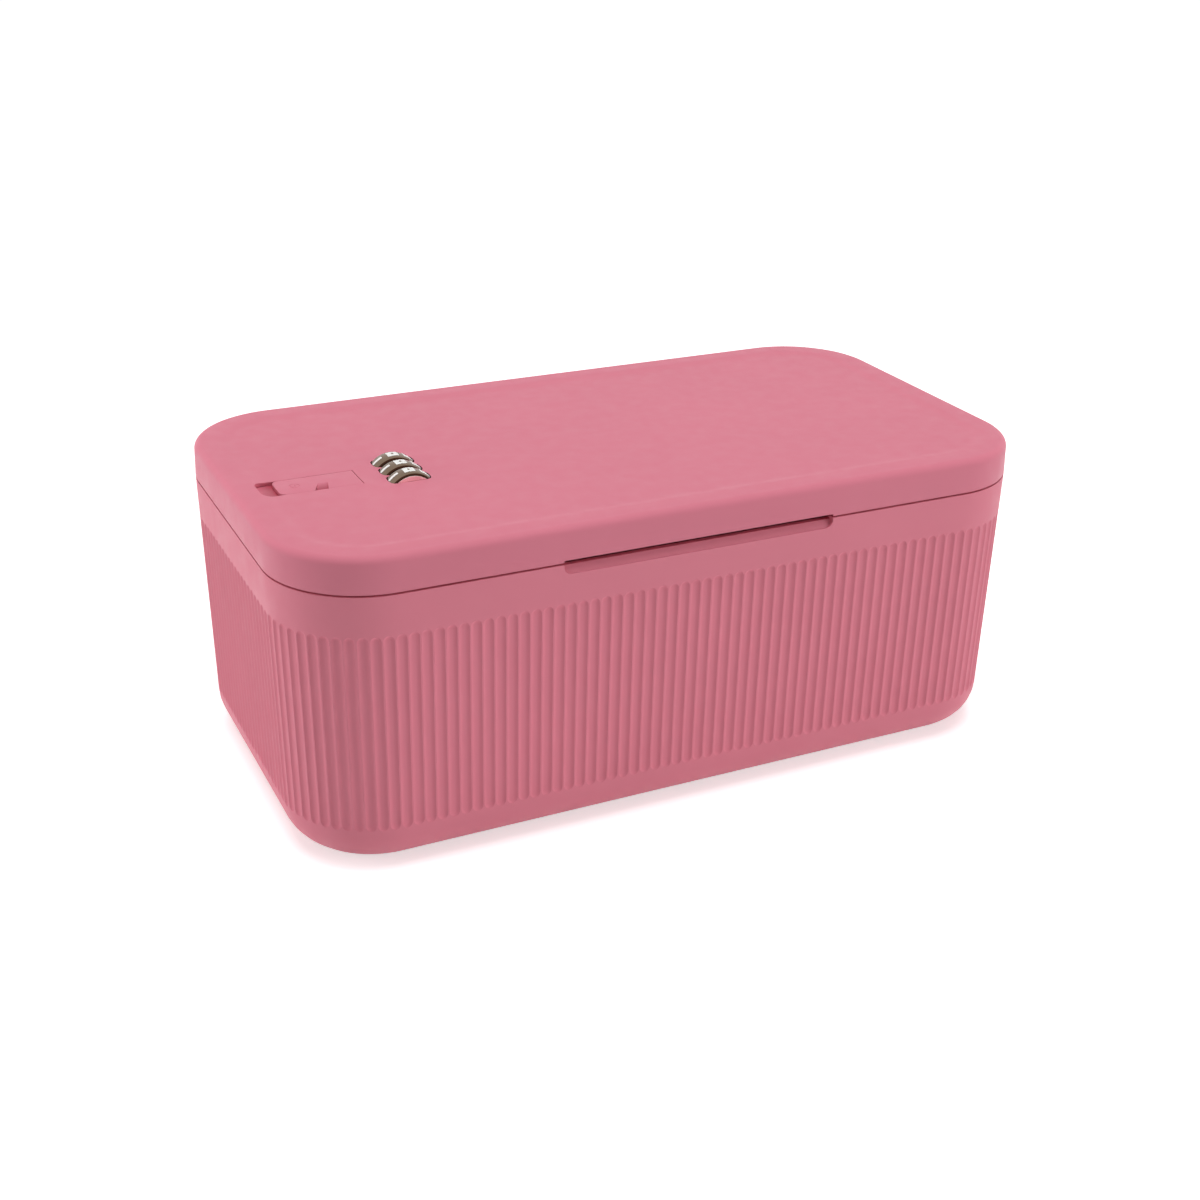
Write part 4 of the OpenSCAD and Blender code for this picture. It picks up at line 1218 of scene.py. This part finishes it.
class LOCKBOX_OT_dials(bpy.types.Operator):
    """Model the three number dials with their white numbers"""

    bl_idname = "lockbox.dials"
    bl_label = "Dials"

    def execute(self, context):
        dial = context.scene.lockbox_dial
        low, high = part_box("dial_1")
        radius = (high.x - low.x) / 2
        half = (high.y - low.y) / 2
        centre = (low + high) / 2
        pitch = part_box("dial_2")[0].y - low.y
        wheel = self.wheel(dial, radius, half, centre)
        over_rim = centre + Vector((0, 0, radius + 1 * MM))
        figures = []
        for number, cells in enumerate(FIGURES):
            figure = self.figure(dial, over_rim, wheel, cells)
            open_whole(figure)
            turn = 4 * QUARTER * number / len(FIGURES)
            bpy.ops.transform.rotate(value=turn, orient_axis="Y", center_override=centre)
            figures.append(figure)
        numbers = rename(join(figures), "numbers_1")

        nickel, groove, side = [polished_nickel(part) for part in ("nickel", "groove", "side")]
        enamel = white_enamel()
        for i, (node, body) in enumerate(DIAL_BODIES.items()):
            metal = copy_along(wheel, f"wheel_{i + 1}", i * pitch) if i else wheel
            white = copy_along(numbers, f"numbers_{i + 1}", i * pitch) if i else numbers
            finish_piece(metal, body, [node], nickel)
            # Sideways faces get the near-black painted shade; the outer dial's front face gets the
            # bright metal
            add_finish(metal, groove, lambda face: abs(face.normal.y) > dial.dark_turn)
            add_finish(metal, side, lambda face: i == 0 and face.normal.y < -dial.bright_turn)
            finish_piece(white, body, [], enamel)
        return {"FINISHED"}

    @staticmethod
    def wheel(dial, radius, half, centre):
        """A dial with a crowned rim, round shoulders, hollow sides and a web to its bore."""
        web = dial.web / 2
        inner = [
            (dial.hollow, -half), (dial.hollow, -web), (dial.bore, -web),
            (dial.bore, web), (dial.hollow, web), (dial.hollow, half),
        ]
        rim = dial_section(dial, radius, half, 0)
        return turned("wheel_1", [*rim, *inner, rim[0]], centre, 120)

    @staticmethod
    def figure(dial, place, wheel, cells):
        """One block number with round corners, laid on the crown and raised a little."""
        columns, rows = 3, 5
        piece = start_piece(
            "figure", bpy.ops.mesh.primitive_grid_add, place, (dial.figure, dial.figure_width, 1),
            size=1, x_subdivisions=rows, y_subdivisions=columns,
        )
        empty = []
        for i, cell in enumerate(cells):
            down = dial.figure * (0.5 - (i // columns + 0.5) / rows)
            across = dial.figure_width * (0.5 - (i % columns + 0.5) / columns)
            if cell == "0":
                empty.append(place + Vector((down, across, 0)))
        pick("FACE", lambda face: any(near((middle(face) - spot).length, 0) for spot in empty))
        bpy.ops.mesh.delete(type="FACE")
        pick("VERT", lambda vert: len(vert.link_faces) == 1)
        bpy.ops.mesh.bevel(affect="VERTICES", offset=dial.figure_corner, segments=3)
        bpy.ops.object.mode_set(mode="OBJECT")
        apply_modifier(
            piece, "SHRINKWRAP", wrap_method="PROJECT", use_project_z=True,
            use_negative_direction=True, use_positive_direction=False, target=wheel,
            offset=dial.figure_rise,
        )
        apply_modifier(piece, "SOLIDIFY", thickness=2 * dial.figure_rise, offset=-1)
        return piece


class LOCKBOX_OT_button(bpy.types.Operator):
    """Model the sliding button with its finger scoop"""

    bl_idname = "lockbox.button"
    bl_label = "Button"

    def execute(self, context):
        button = context.scene.lockbox_button
        lid = context.scene.lockbox_lid
        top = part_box("slide_button")[1].z
        left = -HALF_LENGTH + lid.slot_inset + button.track
        right = left + button.length
        mid_y = AXLE.y + button.shift
        flange_low = top - button.flange_drop
        flange_top = flange_low + button.flange
        cap_foot = flange_top - 0.1 * MM
        cap = self.cap(button, left, mid_y, cap_foot, top)
        stem_places = [(left + button.stem_inset, AXLE.y), (right - button.stem_inset, AXLE.y)]
        self.add_flange(button, cap, stem_places, flange_low, flange_top)
        scoop_x = left + button.scoop_start
        mark_place = Vector((left + button.mark_start, mid_y, top + button.mark_rise))
        combine(cap, "DIFFERENCE", self.scoop(button, scoop_x, mid_y, top))
        combine(cap, "DIFFERENCE", *self.mark(button, mark_place))
        hole_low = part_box("slide_button")[0].z - CUT
        hole_top = flange_top - 0.2 * MM
        holes = posts("holes", button.hole, hole_low, hole_top, stem_places, sides=24)
        combine(cap, "DIFFERENCE", holes)
        finish_piece(cap, "button", ["slide_button"], moulded_plastic("lid"))

        # Painted shade in the scoop and on the flange in the open track, darker where the scoop is
        # deeper and towards the cap along the track
        sunk = top - 0.3 * MM
        darkest_z = top - 0.6 * button.scoop_depth
        track_end = scoop_x - 2 * MM
        add_finish(
            cap, shaded_plastic("lid", "dusty_scoop", "Z", top, darkest_z),
            lambda face: face.normal.z > 0.1 and face.center.z < sunk and face.center.x < right,
        )
        add_finish(
            cap, shaded_plastic("lid", "dusty_track", "X", left - button.track, left),
            lambda face: face.normal.z > 0.5 and face.center.z < sunk and face.center.x < track_end,
        )
        return {"FINISHED"}

    @staticmethod
    def cap(button, left, mid_y, bottom, top):
        """The cap, raised from its outline to a small round edge."""
        cap = plate(
            "button_cap", button.length, button.width, (left + button.length / 2, mid_y, bottom)
        )
        round_corners(button.corner, 8, lambda vert: near(vert.co.x, left))
        rise = top - bottom - button.edge
        extrude(z=rise)
        step_in([(0, rise), *round_over(0, rise, button.edge, 4)])
        face_outwards()
        return cap

    @staticmethod
    def add_flange(button, cap, stem_places, flange_low, flange_top):
        """Adds the flange under the lid, the stems down to the latch and the spring's seat."""
        low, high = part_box("slide_button")
        half = AXLE.y - low.y
        flange = block(
            "flange", (low.x, AXLE.y - half, flange_low),
            (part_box("dial_2")[0].x - button.dial_gap, AXLE.y + half, flange_top),
        )
        round_edges(button.flange_edge, 2)
        sink = 0.5 * MM
        stems = posts("stems", button.stem_radius, low.z, flange_low + sink, stem_places)
        seat_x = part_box("return_spring")[1].x + button.seat_gap
        seat_top = flange_top - 0.05 * MM
        seat = block(
            "seat", (seat_x, AXLE.y + half - sink, flange_low - button.seat_reach),
            (seat_x + button.seat_wall, high.y, seat_top),
        )
        combine(cap, "UNION", flange)
        combine(cap, "UNION", stems, seat)

    @staticmethod
    def scoop(button, left, mid_y, top):
        """The finger scoop, deep at the front edge, narrower and turned aside at its rear end."""
        half = button.width / 2
        front = mid_y - half
        right = left + button.scoop_length
        tool = block(
            "scoop", (left, front - CUT, top - button.scoop_depth),
            (right, mid_y - half * button.scoop_end, top + CUT),
        )
        pick("VERT", lambda vert: vert.co.y > front)
        bpy.ops.transform.resize(
            value=(button.scoop_taper, 1, 1), center_override=((left + right) / 2, mid_y, top)
        )
        bpy.ops.transform.translate(value=(button.scoop_lean, 0, 0))
        pick("VERT", lambda vert: vert.co.y > front and vert.co.z < top)
        bpy.ops.transform.translate(value=(0, 0, button.scoop_depth - HAIR))
        return tool

    @staticmethod
    def mark(button, place):
        """The small ring and dot that are pressed into the cap's top, as tools."""
        ring = start_piece(
            "ring", bpy.ops.mesh.primitive_torus_add, place, major_radius=button.mark_radius,
            minor_radius=button.mark_line, major_segments=48, minor_segments=10,
        )
        dot = start_piece(
            "dot", bpy.ops.mesh.primitive_uv_sphere_add, place, radius=button.mark_dot,
            segments=20, ring_count=10,
        )
        return ring, dot


class LOCKBOX_OT_inside(bpy.types.Operator):
    """Round and finish the moulded and metal parts inside the box"""

    bl_idname = "lockbox.inside"
    bl_label = "Inner parts"

    def execute(self, context):
        moulded = moulded_plastic("inside")
        for node, edge in MOULDINGS.items():
            piece = soften(node, moulded, edge)
            if node == "lid_liner":
                self.shade_lip(piece, context.scene.lockbox_body.corner_radius)
        steel = zinc_steel()
        for node in STEEL_SHEETS:
            soften(node, steel, SHEET_EDGE)
        for node in STEEL_TURNINGS:
            soften(node, steel, TURNING_EDGE)
        leaf = frame["nodes"]["detent_spring"].data
        leaf.materials.clear()
        leaf.materials.append(steel)

        # The coil springs, which their joints shorten towards their lower end
        for joint in JOINTS.values():
            for spring in joint.get("deforming_nodes", []):
                node, side = spring["node"], "xyz".index(spring["mode"][-1])
                coil = soften(node, steel, WIRE_EDGE)
                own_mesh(coil)
        return {"FINISHED"}

    @staticmethod
    def shade_lip(liner, corner):
        """Paints shade on the outer side of the liner's lip, where it shows dark through the seam."""
        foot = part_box("lid_liner")[0].z
        shade_low, shade_high = foot + 0.3 * MM, foot + 1.1 * MM
        reach = corner - 5 * MM

        def on_lip(face):
            along = max(abs(face.center.x) - HALF_LENGTH + corner, 0)
            across = max(abs(face.center.y) - HALF_WIDTH + corner, 0)
            outward = face.normal.x * face.center.x + face.normal.y * face.center.y > 0
            return outward and abs(face.normal.z) < 0.5 and math.hypot(along, across) > reach

        # The lip's outer side gets painted shade, darker above its foot
        add_finish(liner, shaded_plastic("inside", "dusty_lip", "Z", shade_low, shade_high), on_lip)


class LOCKBOX_OT_feet(bpy.types.Operator):
    """Model the rubber pads under the base"""

    bl_idname = "lockbox.feet"
    bl_label = "Feet"

    def execute(self, context):
        rubber = soft_rubber()
        edge = 0.2 * MM
        for node in FEET:
            low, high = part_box(node)
            pad = rod(
                "pad_" + node[5:], (high.x - low.x) / 2, high.z - low.z, (low + high) / 2, sides=64
            )
            pick("FACE", lambda face: abs(face.normal.z) > 0.5)
            bpy.ops.mesh.inset(thickness=HAIR)
            round_edges(edge, 3, sharp)
            finish_piece(pad, "box", [node], rubber)
        return {"FINISHED"}


def direction(azimuth, elevation):
    """The way from the box to a lamp or the camera, by its turn from the front and its height."""
    return Vector((
        math.sin(azimuth) * math.cos(elevation), -math.cos(azimuth) * math.cos(elevation),
        math.sin(elevation),
    ))


class LOCKBOX_OT_stage(bpy.types.Operator):
    """Set the floor, the soft lamps, the world and the camera"""

    bl_idname = "lockbox.stage"
    bl_label = "Stage"

    def execute(self, context):
        stage = context.scene.lockbox_stage
        floor = plate("floor", stage.floor_size, stage.floor_size, (0, 0, 0))
        start_fresh()
        floor.data.materials.append(floor_paint(stage))
        for name in LAMPS:
            self.lamp(name, getattr(stage, name + "_power"))
        self.world(context.scene, stage)
        self.camera(context.scene, stage)
        context.scene.view_settings.view_transform = "Standard"
        return {"FINISHED"}

    @staticmethod
    def lamp(name, power):
        """A soft lamp that faces the box from its side."""
        azimuth, elevation, reach, width, height = LAMPS[name]
        away = direction(math.radians(azimuth), math.radians(elevation))
        start_fresh()
        bpy.ops.object.light_add(type="AREA", location=away * reach + Vector((0, 0, HINGE.z)))
        light = rename(bpy.context.object, name)
        light.data.shape = "RECTANGLE"
        light.data.size = width
        light.data.size_y = height
        light.data.energy = power
        light.visible_camera = False
        light.visible_glossy = False
        light.rotation_euler = away.to_track_quat("Z", "Y").to_euler()

    @staticmethod
    def world(scene, stage):
        """A world that looks white to the camera and mirrors, whatever light it gives the object."""
        world = scene.world or bpy.data.worlds.new("world")
        scene.world = world
        world.use_nodes = True
        tree = world.node_tree
        dim = tree.nodes["Background"]
        feed(tree, dim, {"Color": (1, 1, 1, 1), "Strength": stage.world_strength})
        white = add_node(tree, "Background", {"Color": (1, 1, 1, 1)})
        mix = add_node(
            tree, "MixShader", {0: seen_directly(tree), 1: dim.outputs["Background"], 2: white}
        )
        feed(tree, tree.nodes["World Output"], {"Surface": mix})

    @staticmethod
    def camera(scene, stage):
        """The photograph's camera: its turn, height, roll, lens and aim."""
        back = direction(stage.azimuth, stage.elevation)
        level = Vector((0, 0, 1)).cross(back).normalized()
        rise = back.cross(level)
        across = level * math.cos(stage.roll) + rise * math.sin(stage.roll)
        upward = rise * math.cos(stage.roll) - level * math.sin(stage.roll)
        pixels = stage.lens / SENSOR * PICTURE
        off_x = (stage.aim_across - PICTURE / 2) / pixels * stage.distance
        off_y = (PICTURE / 2 - stage.aim_down) / pixels * stage.distance
        place = Vector((0, 0, HINGE.z)) - across * off_x - upward * off_y + back * stage.distance
        start_fresh()
        bpy.ops.object.camera_add()
        camera = bpy.context.object
        turn = Matrix((across, upward, back)).transposed().to_4x4()
        camera.matrix_world = Matrix.Translation(place) @ turn
        camera.data.sensor_width = SENSOR / MM
        camera.data.lens = stage.lens / MM
        scene.camera = camera


class LOCKBOX_PT_panel(bpy.types.Panel):
    """Buttons that model the box, and its sizes"""

    bl_idname = "LOCKBOX_PT_panel"
    bl_label = "Combination Lock Box"
    bl_space_type = "VIEW_3D"
    bl_region_type = "UI"
    bl_category = "Lock Box"

    def draw(self, context):
        for operator in OPERATORS:
            self.layout.operator(operator.bl_idname)
        for name, group in SETTINGS.items():
            box = self.layout.box()
            box.label(text=name.capitalize())
            for prop in group.__annotations__:
                box.prop(getattr(context.scene, "lockbox_" + name), prop)


SETTINGS = {
    "body": BodySettings,
    "recess": RecessSettings,
    "hinge": HingeSettings,
    "lid": LidSettings,
    "dial": DialSettings,
    "button": ButtonSettings,
    "finish": FinishSettings,
    "stage": StageSettings,
}
OPERATORS = (
    LOCKBOX_OT_body,
    LOCKBOX_OT_lid,
    LOCKBOX_OT_dials,
    LOCKBOX_OT_button,
    LOCKBOX_OT_inside,
    LOCKBOX_OT_feet,
    LOCKBOX_OT_stage,
)


def register():
    for group in SETTINGS.values():
        bpy.utils.register_class(group)
    for name, group in SETTINGS.items():
        setattr(bpy.types.Scene, "lockbox_" + name, PointerProperty(type=group))
    for part in (*OPERATORS, LOCKBOX_PT_panel):
        bpy.utils.register_class(part)


def unregister():
    for part in (LOCKBOX_PT_panel, *reversed(OPERATORS)):
        bpy.utils.unregister_class(part)
    for name in SETTINGS:
        delattr(bpy.types.Scene, "lockbox_" + name)
    for group in SETTINGS.values():
        bpy.utils.unregister_class(group)


def main():
    register()
    for operator in OPERATORS:
        family, name = operator.bl_idname.split(".")
        getattr(getattr(bpy.ops, family), name)()
    start_fresh()


if __name__ == "__main__":
    main()
